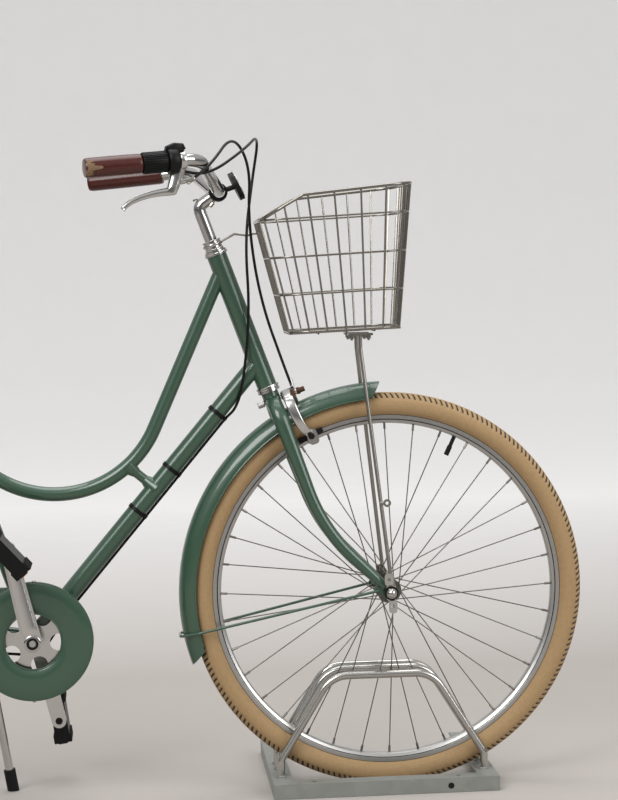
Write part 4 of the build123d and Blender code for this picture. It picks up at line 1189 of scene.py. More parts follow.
@dataclass
class Cables:
    """Gear cable across the steering head, brake cable, cable clips and end sleeves.

    Attributes:
        controls: Fittings of the bar where the cables start.
        radius: Radius of the cable.
        tube_radius: Radius of the down tube.
        head_rise: Down tube axis above the crown race.
        gear_route: Points of the gear cable from the front axle.
        brake_route: Points of the brake cable from the front axle.
        brake_end: End of the brake cable in the steering frame.
        clips_at: Clips along the down tube.
    """

    controls: Controls
    radius: float = 2.5
    tube_radius: float = 15.9
    head_rise: float = 58.0
    gear_route: tuple[tuple[float, float, float], ...] = (
        (-318, -222, 737), (-250, -150, 785), (-216, 0, 821),
        (-230, 14, 735), (-246, -20, 630), (-240, -26, 505))
    brake_route: tuple[tuple[float, float, float], ...] = (
        (-312, -240, 755), (-270, -128, 813), (-236, -60, 761),
        (-241, -38, 665), (-222, -34, 525), (-178, -30, 397))
    brake_end: tuple[float, float, float] = (40.0, -26.0, -6.0)
    clips_at: tuple[float, float, float] = (116.0, 245.0, 340.0)

    def run(self) -> tuple[np.ndarray, np.ndarray, np.ndarray]:
        """Line of the down tube.

        Returns:
            Its upper end, the direction down it and the direction below it.
        """
        head = LAYOUT.steer(0, 0, self.head_rise)
        along = unit(LAYOUT.bottom - head)
        return head, along, vec(-along[2], 0, along[0])

    def upper(self) -> None:
        """Gear cable from the shifter, past the basket, to the first clip."""
        head, along, below = self.run()
        lie = self.tube_radius + self.radius + 0.3
        points = [self.controls.on_bar(154.3) + vec(0, 14, -15)]
        points += [LAYOUT.front_axle + vec(*place) for place in self.gear_route]
        points += [head + along * far + below * drop - LEFT * right
                   for far, drop, right in ((45, 2, 25), (88, lie + 3, 6), (114, lie, 0))]
        path = eased(points)
        cable = Shape("gear_cable_sheath").tube(path, self.radius, 12).build(
            CABLE, Body.FRONT_END, Slot.RUBBER, "gear_cable_upper", ride=False)
        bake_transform(cable)

    def brake(self) -> None:
        """Brake cable from the lever, over the top and down behind the basket to the brake."""
        points = [self.controls.brake_outlet()]
        points += [LAYOUT.front_axle + vec(*place) for place in self.brake_route]
        points.append(LAYOUT.steer(*self.brake_end))
        Shape("brake_cable_sheath").tube(eased(points), self.radius, 12).build(
            CABLE, Body.FRONT_END, Slot.RUBBER, "brake_cable")

    def clips(self) -> None:
        """Clips that hold the gear cable under the down tube: flat straps around tube and cable."""
        head, along, below = self.run()
        clips = Shape("cable_clips")
        for distance in self.clips_at:
            centre = head + along * distance
            angle = full_turn(40)[:, None]
            round_tube = np.maximum(0, np.cos(angle)) ** 8 * 4.5 + self.tube_radius + 0.7
            loop = centre + round_tube * (np.cos(angle) * below + np.sin(angle) * LEFT)
            section = np.array([[-1, -4], [1, -4], [1, 4], [-1, 4]]) * 0.9
            clips.tube(loop, 1.0, section=section[:, ::-1], closed=True, across=along)
        clips.build(PLASTIC, Body.FRAME, Slot.PLASTIC)

    def ends(self) -> None:
        """Metal end sleeves of the brake cable."""
        ends = Shape("cable_end_sleeves")
        start = self.controls.brake_outlet()
        toward = unit(LAYOUT.front_axle + vec(*self.brake_route[0]) - start)
        ends.rod(start - toward * 2, start + toward * 14, 3.6, 16)
        low = LAYOUT.steer(*self.brake_end)
        ends.rod(low + UP * 2, low + UP * 16 + FORWARD * -4, 3.6, 16)
        ends.build(ALLOY, Body.FRONT_END, Slot.ALLOY)

    def dress(self) -> None:
        """Builds all cable pieces."""
        self.upper()
        self.brake()
        self.clips()
        self.ends()


@dataclass
class Brake:
    """Small parts of the side-pull brake.

    Attributes:
        bolt_up: Centre bolt along the steering axis.
        block_up: Brake blocks along the steering axis.
        block_fore: Brake blocks ahead of the steering axis.
    """

    bolt_up: float = -16.0
    block_up: float = -97.5
    block_fore: float = 40.0

    def bolt(self, near: float, far: float) -> tuple[np.ndarray, np.ndarray]:
        """Stretch of the centre bolt.

        Args:
            near: Its start ahead of the steering axis.
            far: Its end ahead of the steering axis.

        Returns:
            Start and end.
        """
        return LAYOUT.steer(near, 0, self.bolt_up), LAYOUT.steer(far, 0, self.bolt_up)

    def pin(self, side: int, near: float, far: float) -> tuple[np.ndarray, np.ndarray]:
        """Stretch of the pin that holds a brake block.

        Args:
            side: -1 for the right block and 1 for the left.
            near: Its start from the middle.
            far: Its end from the middle.

        Returns:
            Start and end.
        """
        return tuple(LAYOUT.steer(self.block_fore, side * left, self.block_up) for left in (near, far))

    def arms(self) -> None:
        """Two curved flat arms with a slotted foot each, on a bolt through the crown."""
        shape = Shape("brake_arms")
        fore = LAYOUT.steer(1, 0, 0) - LAYOUT.crown
        rise = LAYOUT.steer(0, 0, 1) - LAYOUT.crown
        flat = outline(28, 0.8, 0.4, 0.5)
        for side, ahead in ((-1, 26.0), (1, 36.0)):
            line = [(ahead, -4, -9), (ahead, 16, -12), (ahead, 40, -24), (ahead + 1, 45, -56),
                    (ahead + 5, 42, -80), (40, 34, -92), (41, 32, -108)]
            path = eased([LAYOUT.steer(fore_of, side * left, up) for fore_of, left, up in line], 3)
            size = taper(path, [0, 0.15, 0.5, 0.8, 0.9, 1], [9, 12, 10.5, 9, 13.5, 12.5])
            shape.tube(path, size, section=flat, across=fore)
            shape.rod(*self.pin(side, 22.8, 36), 3.5)
            shape.plate(LAYOUT.steer(42, side * 36.5, self.block_up - 2), fore, rise, (9.5, 14.0, 3.0), 5.0)
        shape.rod(*self.bolt(16, 47), 5)
        shape.rod(*self.bolt(-28, -15.8), 6.4, 6)
        shape.build(ALLOY, Body.FRONT_END, Slot.ALLOY, "brake_caliper")

    def dress(self) -> None:
        """Builds arms, nuts, bolt cap with the cable's adjuster, and return spring."""
        self.arms()
        nuts = Shape("brake_nuts")
        for side in SIDES:
            nuts.rod(*self.pin(side, 36, 42), 6.2, 6)
        nuts.build(DARK_STEEL_AND_SHADE, Body.FRONT_END, Slot.ZINC)
        cap = Shape("brake_bolt_cap")
        cap.rod(*self.bolt(46, 52), 7.0, 6)
        cap.rod(*self.bolt(51, 61), 4.8, 18)
        cap.rod(LAYOUT.steer(38, -28, -8), LAYOUT.steer(36, -29, -22), 4.0, 18)
        cap.build(RUST, Body.FRONT_END, Slot.ALLOY)
        wire = Shape("brake_return_spring")
        for side in SIDES:
            line = ((22.5, 0, -8), (22, side * 22, -14), (22, side * 38, -44), (23, side * 37, -68))
            wire.tube(rounded([LAYOUT.steer(*spot) for spot in line], 12), 1.1, 8)
        wire.build(STEEL, Body.FRONT_END, Slot.ZINC)


@dataclass
class Guards:
    """Edge beads of the mudguards, and the chain guard's lip, dome and screws.

    Attributes:
        radius: Outer radius of the mudguards.
        half: Half width of the mudguards.
        case_radius: Radius of the chain guard's disc.
        hole_radius: Radius of the hole in the disc.
        case_side: Outer face of the chain guard from the middle.
    """

    radius: float = 375.0
    half: float = 29.0
    case_radius: float = 105.0
    hole_radius: float = 48.5
    case_side: float = 58.0

    def bead(self, name: str, centre: np.ndarray, angles: tuple[float, float], body: Body) -> None:
        """Rolled edges of a mudguard.

        Args:
            name: Name of the piece.
            centre: Middle of the wheel.
            angles: First and last angle in degrees.
            body: Body that carries it.
        """
        shape = Shape(name)
        angle = np.linspace(angles[0], angles[1], 90)
        for side in SIDES:
            path = polar(centre, self.radius - self.half, angle, side * (self.half - 0.6))
            shape.tube(path, 1.5, 8, across=LEFT)
        shape.build(GREEN, body, Slot.GREEN)

    def case_lip(self) -> None:
        """Rounded lip around the hole of the chain guard, its domed face and two screws."""
        centre = LAYOUT.bottom - LEFT * self.case_side
        angle = np.linspace(0, 360, 72, endpoint=False)
        lip = Shape("chain_guard_lip")
        lip.tube(polar(centre, self.hole_radius + 1.2, angle, -1.2), 1.4, 10, closed=True, across=LEFT)
        lip.build(GREEN, Body.FRAME, Slot.GREEN)
        inner, outer = self.hole_radius, self.case_radius
        dome = [(0.2, inner + 1.0), (2.4, inner + 4), (3.0, 66), (3.6, 84), (2.8, 96), (0.8, 102.5),
                (-3.5, outer + 0.4), (-3.5, outer - 2), (-1.0, 60)]
        Shape("chain_guard_dome").lathe(centre, -LEFT, dome, 144, closed=True).build(
            GREEN, Body.FRAME, Slot.GREEN)
        screws = Shape("chain_guard_screws")
        for turn in (88.0, -90.0):
            start, end = (polar(centre, outer + reach, turn, 4.0) for reach in (-2.0, 2.2))
            screws.rod(start, end, 3.4, 20, 0.9)
        screws.build(STEEL, Body.FRAME, Slot.ZINC)

    def dress(self) -> None:
        """Builds all guard pieces."""
        self.bead("front_mudguard_bead", LAYOUT.front_axle, (96.0, 195.5), Body.FRONT_END)
        self.bead("rear_mudguard_bead", LAYOUT.rear_axle, (12.5, 187.5), Body.FRAME)
        self.case_lip()


@dataclass
class Drive:
    """Chain links, teeth, crank bolts and pedal reflectors.

    Attributes:
        pitch: Chain pitch.
        teeth: Teeth of the chain wheel and of the sprocket.
        line: Chain's distance from the middle.
        crank: Middle of the crank arms from the middle, and their thickness.
        pedal: Length, width and thickness of a pedal.
        tilts: Right and left pedal, nose down, in degrees.
    """

    pitch: float = 12.7
    teeth: tuple[int, int] = (36, 18)
    line: float = 43.0
    crank: tuple[float, float] = (74.0, 13.0)
    pedal: tuple[float, float, float] = (92.0, 88.0, 26.0)
    tilts: tuple[float, float] = (48.0, 82.0)

    def pitch_radius(self, teeth: int) -> float:
        """Pitch radius of a chain wheel.

        Args:
            teeth: Number of teeth.

        Returns:
            The radius.
        """
        return self.pitch / (2 * np.sin(np.pi / teeth))

    def link(self, outer: bool) -> Shape:
        """One chain link: two waisted plates and a roller.

        Args:
            outer: Whether it is an outer link.

        Returns:
            Link drawn along x about its middle.
        """
        shape = Shape("link")
        angle = full_turn(20)
        lobe = np.where(np.cos(angle) >= 0, 1, -1) * self.pitch / 2
        waist = 1 - 0.12 * np.abs(np.sin(angle)) ** 6
        long, tall = lobe + 4.1 * np.cos(angle), 4.1 * np.sin(angle) * waist
        side = 2.9 if outer else 1.7
        for flank in (-1, 1):
            faces = (flank * side, flank * (side + 1.0))
            rows = [np.stack([long, np.full(len(long), face), tall], -1) for face in faces]
            shape.grid(np.stack(rows), wrap_columns=True, cap=True)
        if outer:
            for end in (-1, 1):
                spot = vec(end * self.pitch / 2, 0, 0)
                shape.rod(spot - LEFT * 3.5, spot + LEFT * 3.5, 3.6, 10, 0.3)
        return shape

    def chain(self) -> None:
        """Chain of links laid around both wheels: two arcs and two straight runs."""
        big, small = (self.pitch_radius(t) for t in self.teeth)
        front, rear = LAYOUT.bottom - LEFT * self.line, LAYOUT.rear_axle - LEFT * self.line
        apart = np.linalg.norm(rear - front)
        tilt = np.degrees(np.arctan2(rear[2] - front[2], rear[0] - front[0]))
        lean = np.degrees(np.arccos((big - small) / apart))
        first = polar(front, big, np.linspace(tilt - lean, tilt + lean - 360, 80))
        second = polar(rear, small, np.linspace(tilt + lean - 360, tilt - lean - 360, 50))
        line = np.concatenate([first, second, first[:1]])
        pins = spaced(line, 2 * int(round(run_length(line)[-1] / self.pitch / 2)))
        middle = (pins + np.roll(pins, -1, 0)) / 2
        along = unit(np.roll(pins, -1, 0) - pins)
        sides = np.broadcast_to(LEFT, along.shape)
        axes = np.stack([along, sides, np.cross(along, sides)], 1)
        shape = Shape("chain_links")
        for parity in (0, 1):
            shape.copies(self.link(bool(parity)), middle[parity::2], axes[parity::2])
        shape.build(CHAIN_STEEL, Body.FRAME, Slot.ZINC, "chain")

    def wheel_teeth(self, name: str, centre: np.ndarray, teeth: int, body: Body) -> None:
        """Ring of teeth: its outer radius follows a cosine of the tooth angle.

        Args:
            name: Name of the piece.
            centre: Middle of the wheel in the chain's plane.
            teeth: Number of teeth.
            body: Body that carries it.
        """
        steps = teeth * 12
        angle = np.arange(steps) * 360 / steps
        pitch_radius = self.pitch_radius(teeth)
        outer = pitch_radius + 2.6 * np.cos(np.radians(angle * teeth)) - 1.4
        inner = pitch_radius - 9
        rows = [polar(centre, reach, angle, left)
                for reach, left in ((inner, -1.5), (outer, -0.9), (outer, 0.9), (inner, 1.5))]
        Shape(name).grid(np.stack(rows), wrap_rows=True, wrap_columns=True).build(ALLOY, body, Slot.ALLOY)

    def bolts(self) -> None:
        """Crank bolts in round caps, and painted shade: a dark ring in each cap's recess round the bolt and a
        dark disc where each pedal's spindle has its socket.
        """
        caps, sockets = Shape("crank_bolts"), Shape("crank_socket_shade")
        for side, name in ((-1, "pedal_right_spin"), (1, "pedal_left_spin")):
            out = LEFT * side
            face = LAYOUT.bottom + out * (self.crank[0] + self.crank[1] / 2)
            caps.lathe(face, out, [(0, 15), (3.2, 15), (4.2, 13.6), (4.2, 10.5), (2.5, 10), (2.5, 0.5)], 40)
            caps.rod(face + out * 2, face + out * 4.4, 6.0, 6)
            # Painted shade: a dark ring on the floor of the cap's recess, and a dark disc in the crank's eye.
            ring = [(0, 10.4), (0.3, 10.2), (0.3, 6.2), (0, 6.0)]
            sockets.lathe(face + out * 2.6, out, ring, 40, closed=True)
            inner = joint_place(name) * vec(1, 0, 1) + out * (self.crank[0] - self.crank[1] / 2)
            sockets.rod(inner, inner - out * 0.8, 6.5, 32, 0.3)
        caps.build(CHROME, Body.CRANKSET, Slot.ZINC)
        sockets.build(DARK_STEEL_AND_SHADE, Body.CRANKSET, Slot.ZINC)

    def arm_form(self) -> None:
        """Rounded backs of the crank arms: flat ovals that narrow from the axle to the pedal."""
        shape = Shape("crank_arm_backs")
        for side, name in ((-1, "pedal_right_spin"), (1, "pedal_left_spin")):
            eye = joint_place(name) * vec(1, 0, 1)
            out = LEFT * side * (self.crank[0] + self.crank[1] / 2 - 0.8)
            part = np.linspace(0.06, 0.93, 24)[:, None]
            path = LAYOUT.bottom + out + (eye - LAYOUT.bottom) * part
            size = np.interp(part[:, 0], [0.06, 0.12, 0.5, 0.85, 0.93], [9, 14, 11.5, 10.5, 6])
            shape.tube(path, size, section=outline(28, 0.28, 1.0), across=LEFT)
        shape.build(ALLOY, Body.CRANKSET, Slot.ALLOY)

    def reflectors(self, side: int, tilt: float, body: Body, eye: np.ndarray) -> None:
        """Amber reflectors on both long edges of a pedal, and ribs on its treads.

        Args:
            side: -1 for the right pedal and 1 for the left.
            tilt: Nose down angle in degrees.
            body: Body of the pedal.
            eye: Spindle's place in the crank arm.
        """
        turn = np.radians(tilt)
        fore = vec(np.cos(turn), 0, -np.sin(turn))
        rise = vec(np.sin(turn), 0, np.cos(turn))
        length, width, thick = self.pedal
        middle = vec(eye[0], side * (self.crank[0] + self.crank[1] / 2 + 5.5 + width / 2), eye[2])
        section = np.array([[-1, -1], [1, -1], [1, 1], [-1, 1]]) * np.array([6.5, 1.2])
        lenses = Shape(f"{body.value}_reflectors")
        for end in (-1, 1):
            centre = middle + fore * end * (length / 2 + 0.6)
            path = np.stack([centre - LEFT * 30, centre + LEFT * 30])
            lenses.tube(path, 1.0, section=section, across=rise)
        lenses.build(AMBER, body, Slot.PLASTIC)
        ribs = Shape(f"{body.value}_ribs")
        for end in (-1, 1):
            for face in (-1, 1):
                for offset in np.linspace(-36, 36, 7):
                    spot = (middle + fore * end * (length / 2 - 9) + rise * face * (thick / 2 + 0.2)
                            + LEFT * offset)
                    ribs.rod(spot - fore * 8, spot + fore * 8.5, 3.2, 10, 0.8)
        ribs.build(RUBBER, body, Slot.PLASTIC)

    def dress(self) -> None:
        """Builds all drive pieces."""
        self.chain()
        beside = LEFT * self.line
        self.wheel_teeth("chain_wheel_teeth", LAYOUT.bottom - beside, self.teeth[0], Body.CRANKSET)
        self.wheel_teeth("sprocket_teeth", LAYOUT.rear_axle - beside, self.teeth[1], Body.REAR_WHEEL)
        self.bolts()
        self.arm_form()
        self.reflectors(-1, self.tilts[0], Body.PEDAL_RIGHT, joint_place("pedal_right_spin"))
        self.reflectors(1, self.tilts[1], Body.PEDAL_LEFT, joint_place("pedal_left_spin"))


@dataclass
class Saddle:
    """Padded saddle top on its sprung frame.

    Attributes:
        rear_half: Half width at the rear.
        nose_half: Half width of the nose.
        coil_radius: Radius of the springs.
        coil_turns: Turns of each spring.
        wire: Radius of the spring wire.
    """

    rear_half: float = 92.0
    nose_half: float = 22.0
    coil_radius: float = 14.0
    coil_turns: float = 5.0
    wire: float = 2.6

    def top(self) -> None:
        """Saddle top: closed sections, broad behind, narrow in front, dished in the middle."""
        low, high = node_box("saddle")
        part = (1 - np.cos(np.linspace(0, np.pi, 60))) / 2
        x = low[0] + part * (high[0] - low[0])
        ease = 1 / (1 + np.exp((part - 0.47) * 11))
        half = self.nose_half + (self.rear_half - self.nose_half) * ease
        ends = np.sqrt(np.clip(1 - np.clip((0.2 - part) / 0.2, 0, 1) ** 2, 0, 1)) * np.sqrt(
            np.clip(1 - np.clip((part - 0.9) / 0.1, 0, 1) ** 2, 0, 1))
        half = np.maximum(half * ends, 0.5)
        crest = high[2] - 9 * np.exp(-((part - 0.5) / 0.2) ** 2)
        crest = crest - 6 * np.clip((part - 0.75) / 0.25, 0, 1) ** 2
        skirt = low[2] + 14 * (1 - ease) * (1 - part)
        crest = skirt + (crest - skirt) * (0.25 + 0.75 * ends)
        angle = full_turn(48)
        cosine, sine = np.cos(angle), np.sin(angle)
        y = half[:, None] * np.sign(cosine) * np.abs(cosine) ** 0.75
        dome = np.where(sine > 0, np.abs(sine) ** 0.8, -0.14 * np.abs(sine))
        dome = dome - 0.05 * np.exp(-(cosine / 0.25) ** 2) * (sine > 0)
        z = skirt[:, None] + 6 + (crest - skirt - 6)[:, None] * dome
        points = np.stack([np.broadcast_to(x[:, None], y.shape), y, z], -1)
        top = Shape("saddle_leather").grid(points, wrap_columns=True, cap=True).build(
            SADDLE_LEATHER, Body.FRAME, Slot.LEATHER, "saddle")

    def frame(self) -> None:
        """Wire rails, cross bar, post clamp and two coil springs."""
        low, high = node_box("saddle_frame")
        post = node_box("seat_post")
        head = vec(post[0][0] + 12.7, 0, post[1][2])
        spring_x = low[0] + 17
        shape = Shape("saddle_springs")
        for side in SIDES:
            foot, roof = head[2] - 4, high[2] - 1
            turn = np.linspace(0, self.coil_turns * TURN, int(self.coil_turns * 28))
            coil = np.stack([spring_x + self.coil_radius * np.cos(turn),
                             side * 52 + self.coil_radius * np.sin(turn),
                             np.linspace(foot, roof - self.wire, len(turn))], -1)
            shape.tube(coil, self.wire, 8, across=UP)
            rail = [vec(high[0] - 4, side * 10, high[2] - 2), vec(high[0] - 22, side * 11, head[2] + 8),
                    vec(head[0], side * 17, head[2] + 8), vec(spring_x, side * 50, head[2] + 1)]
            shape.tube(rounded(rail, 20), 3.5, 12)
            seat = vec(spring_x, side * 52, roof)
            shape.rod(vec(spring_x, side * 52, roof - 3), seat, 16, 28)
        shape.rod(vec(spring_x, -54, head[2] - 2), vec(spring_x, 54, head[2] - 2), 4, 16)
        shape.rod(head + vec(0, -20, 8), head + vec(0, 20, 8), 13, 24, 1.5)
        shape.rod(head + vec(0, -28, 8), head + vec(0, 28, 8), 5.5, 6)
        shape.build(CHROME, Body.FRAME, Slot.ZINC, "saddle_frame")

    def dress(self) -> None:
        """Builds the saddle."""
        self.top()
        self.frame()


@dataclass
class Basket:
    """Wire basket that widens upwards: rings with round corners, uprights, a sloping rim and a floor grille.

    Attributes:
        back: Back of the lowest and the top ring, from the front axle.
        front: Front of the lowest and the top ring.
        half: Half width of the lowest and the top ring.
        floor: Height of the lowest ring above the axle, back and front.
        top: Height of the top ring, back and front.
        kink: Place and height where the rim turns level.
        rim_front: Height of the rim's front.
        corner: Radius of the corners.
        wire: Radius of the wire and of the rim.
        rings: Number of rings.
        steps: Points around a ring.
        uprights: First and last upright of each side as shares of the way round, and their number.
    """

    back: tuple[float, float] = (-174.0, -223.0)
    front: tuple[float, float] = (24.0, 39.0)
    half: tuple[float, float] = (96.0, 123.0)
    floor: tuple[float, float] = (467.0, 475.0)
    top: tuple[float, float] = (663.5, 677.5)
    kink: tuple[float, float] = (-143.0, 707.0)
    rim_front: float = 727.0
    corner: float = 42.0
    wire: tuple[float, float] = (1.8, 2.8)
    rings: int = 4
    steps: int = 360
    uprights: tuple[tuple[float, float, int], ...] = (
        (0.158, 0.342, 5), (0.377, 0.623, 9), (0.658, 0.842, 5), (0.89, 1.11, 9))

    def loop(self, part: float) -> np.ndarray:
        """Ring of the basket with evenly spread points, from the middle of the back round by the left.

        Args:
            part: 0 for the lowest ring and 1 for the top one.

        Returns:
            Points from the front axle.
        """
        back, front, half = (low + part * (high - low) for low, high in (self.back, self.front, self.half))
        behind, ahead = (low + part * (high - low) for low, high in zip(self.floor, self.top))
        corners = [(back, 0, behind), (back, half, behind), (front, half, ahead), (front, -half, ahead),
                   (back, -half, behind), (back, 0, behind)]
        return spaced(rounded([vec(*spot) for spot in corners], self.corner, 10), self.steps)

    def dress(self) -> None:
        """Builds the basket in place of its plain wires."""
        shape = Shape("basket_wires")
        loops = np.stack([self.loop(part) for part in np.linspace(0, 1, self.rings)])
        for ring in loops:
            shape.tube(LAYOUT.front_axle + ring, self.wire[0], 10, closed=True, across=UP)
        top, rise = loops[-1], loops[-1] - loops[0]
        height = np.interp(top[:, 0], [self.back[1], self.kink[0], self.front[1]],
                           [self.top[0], self.kink[1], self.rim_front])
        rim = top + rise * ((height - top[:, 2]) / rise[:, 2])[:, None]
        shape.tube(LAYOUT.front_axle + rim, self.wire[1], 12, closed=True, across=UP)
        spread = np.concatenate([np.linspace(*row) for row in self.uprights])
        for index in np.round(spread * self.steps).astype(int) % self.steps:
            shape.tube(LAYOUT.front_axle + np.stack([loops[0][index], rim[index]]), self.wire[0], 8)
        low, high = loops[0].min(0), loops[0].max(0)
        for left in np.linspace(-0.72, 0.72, 7) * self.half[0]:
            ends = [vec(low[0], left, self.floor[0] - 2.5), vec(high[0], left, self.floor[1] - 2.5)]
            shape.tube(LAYOUT.front_axle + np.stack(ends), self.wire[0], 8)
        for part in (0.25, 0.5, 0.75):
            middle = low + part * (high - low)
            ends = [vec(middle[0], side * self.half[0], middle[2] - 4) for side in SIDES]
            shape.tube(LAYOUT.front_axle + np.stack(ends), self.wire[0], 8)
        for side in (-8.0, 8.0):
            hook = LAYOUT.front_axle + vec(self.back[1] - 8, side, 642.5)
            shape.rod(hook, hook + FORWARD * 15, 1.6, 10)
        shape.build(BASKET_STEEL, Body.FRONT_END, Slot.CHROME, "basket_sides", "basket_back", "basket_front",
                    "basket_corners", "basket_floor")


@dataclass
class Carriers:
    """Small parts of basket, kickstand and rack.

    Attributes:
        hoop_feet: Hoop feet from the front axle.
        hoop_sides: Hoops across.
        bar_height: Top of the rack's cross bars.
        tube: Radius of the hoops.
        stay_plates: Forward and up from the axle, half width and half height of each plate of a stay.
        tab: Lamp tab from the front axle.
        tab_radii: Radius of the tab's eye and of the tab.
    """

    hoop_feet: tuple[float, float] = (-199.0, 168.0)
    hoop_sides: tuple[float, float, float] = (-34.0, 34.0, 78.9)
    bar_height: float = 26.0
    tube: float = 7.0
    stay_plates: tuple[tuple[float, float, float, float], ...] = (
        (-3.5, 24.0, 8.0, 11.0), (0.0, 0.0, 9.0, 14.0), (3.0, -24.0, 7.6, 12.5))
    tab: tuple[float, float, float] = (-4.0, -59.5, 160.0)
    tab_radii: tuple[float, float] = (3.0, 7.0)

    def welds(self) -> None:
        """Weld beads where the hoops meet the rack's bars: rings with an uneven edge."""
        shape = Shape("rack_welds")
        angle = full_turn(40)
        for x in self.hoop_feet:
            for y in self.hoop_sides:
                reach = self.tube + 0.6 + 0.5 * np.sin(9 * angle)
                ring = np.stack([LAYOUT.front_axle[0] + x + reach * np.cos(angle), y + reach * np.sin(angle),
                                 np.full(40, self.bar_height + 0.8)], -1)
                shape.tube(ring, 1.9, 8, closed=True, across=UP)
        shape.build(GALVANISED, Body.FRONT_END, Slot.ZINC)

    def basket_bolts(self) -> None:
        """Bolts that hold the basket to its stays."""
        _, high = node_box("basket_stays")
        shape = Shape("basket_bolts")
        x = LAYOUT.front_axle[0] - 45
        for side in SIDES:
            for offset in (-15, 15):
                foot = vec(x + offset, side * 36.0, high[2] - 4)
                shape.rod(foot - UP * 6, foot, 4.5, 6)
                shape.rod(foot - UP * 9, foot - UP * 5, 2.5, 12)
        shape.build(STEEL, Body.FRONT_END, Slot.ZINC)

    def axle_ends(self) -> None:
        """Domed axle nuts on dark washers, and the pierced plates of the basket's stays."""
        washers, domes = Shape("front_axle_washers"), Shape("front_axle_domes")
        plates = Shape("basket_stay_plates")
        for side in SIDES:
            out = LEFT * side
            washers.lathe(LAYOUT.front_axle, out, [(69.6, 5), (69.6, 12.5), (71.4, 12.5), (71.4, 5)], 40)
            dome = [(71, 9.6), (76, 9.6), (81, 8.6), (84.5, 5.5), (85.6, 0.6)]
            domes.lathe(LAYOUT.front_axle, out, dome, 32)
            for shift, up, wide, tall in self.stay_plates:
                middle = LAYOUT.front_axle + FORWARD * shift + UP * up + out * 68.7
                plates.plate(middle, FORWARD, UP, (wide, tall, 1.8), 3.0)
        washers.build(DARK_STEEL_AND_SHADE, Body.FRONT_END, Slot.ZINC)
        domes.build(CHROME, Body.FRONT_END, Slot.CHROME)
        plates.build(ALLOY, Body.FRONT_END, Slot.ZINC)

    def rail_hole_shade(self) -> None:
        """Painted shade of a hole in the near face of the rack's rail: a dark round spot where the hole
        opens.
        """
        low, _ = node_box("rack_base")
        spot = vec(LAYOUT.front_axle[0] + 98, low[1], 12.0)
        # A dark disc stands for the shade inside the hole.
        Shape("rack_rail_hole").rod(spot + LEFT, spot - LEFT * 0.4, 5.5, 32, 0.2).build(
            DARK_STEEL_AND_SHADE, Body.FRONT_END, Slot.ZINC)

    def lamp_tab(self) -> None:
        """Tab with an eye on the right basket stay, where a lamp would hang."""
        spot = LAYOUT.front_axle + vec(*self.tab)
        eye = Shape("lamp_tab")
        angle = np.linspace(0, 360, 40, endpoint=False)
        hole, edge = self.tab_radii
        rows = [polar(spot, reach, angle, left)
                for reach, left in ((hole, -1.5), (edge, -1.5), (edge, 1.5), (hole, 1.5))]
        eye.grid(np.stack(rows), wrap_rows=True, wrap_columns=True)
        eye.rod(spot - FORWARD * 6.5, spot - FORWARD * 14, 3.2, 12)
        eye.build(STEEL, Body.FRONT_END, Slot.ZINC)

    def headset_rings(self) -> None:
        """Rounded rings of the headset: those of the fork and those of the frame."""
        rings = ((Body.FRONT_END, ((272.0, 17.4, 4.0), (281.0, 18.4, 5.0), (288.0, 16.8, 3.0))),
                 (Body.FRAME, ((3.5, 20.8, 3.0), (10.0, 21.2, 4.0), (264.5, 21.2, 4.0))))
        axis = LAYOUT.steer(0, 0, 1) - LAYOUT.crown
        for body, rows in rings:
            shape = Shape(f"headset_rings_{body.value}")
            for up, radius, height in rows:
                half = height / 2
                profile = [(-half, radius - 2.5), (-half, radius - 0.8), (-half * 0.5, radius),
                           (half * 0.5, radius), (half, radius - 0.8), (half, radius - 2.5)]
                shape.lathe(LAYOUT.steer(0, 0, up), axis, profile, 48, closed=True)
            shape.build(CHROME, body, Slot.CHROME)

    def stand_bolt(self) -> None:
        """Bolt under the kickstand's bracket."""
        pivot = joint_place("kickstand_fold")
        head = node_box("kickstand_bracket")
        shape = Shape("kickstand_bolt")
        top = vec(pivot[0], 0, head[1][2] - 8)
        shape.rod(top, top - UP * 9, 7, 6)
        shape.build(STEEL, Body.FRAME, Slot.ZINC)

    def dress(self) -> None:
        """Builds all pieces of the carriers."""
        self.welds()
        self.basket_bolts()
        self.axle_ends()
        self.rail_hole_shade()
        self.lamp_tab()
        self.headset_rings()
        self.stand_bolt()


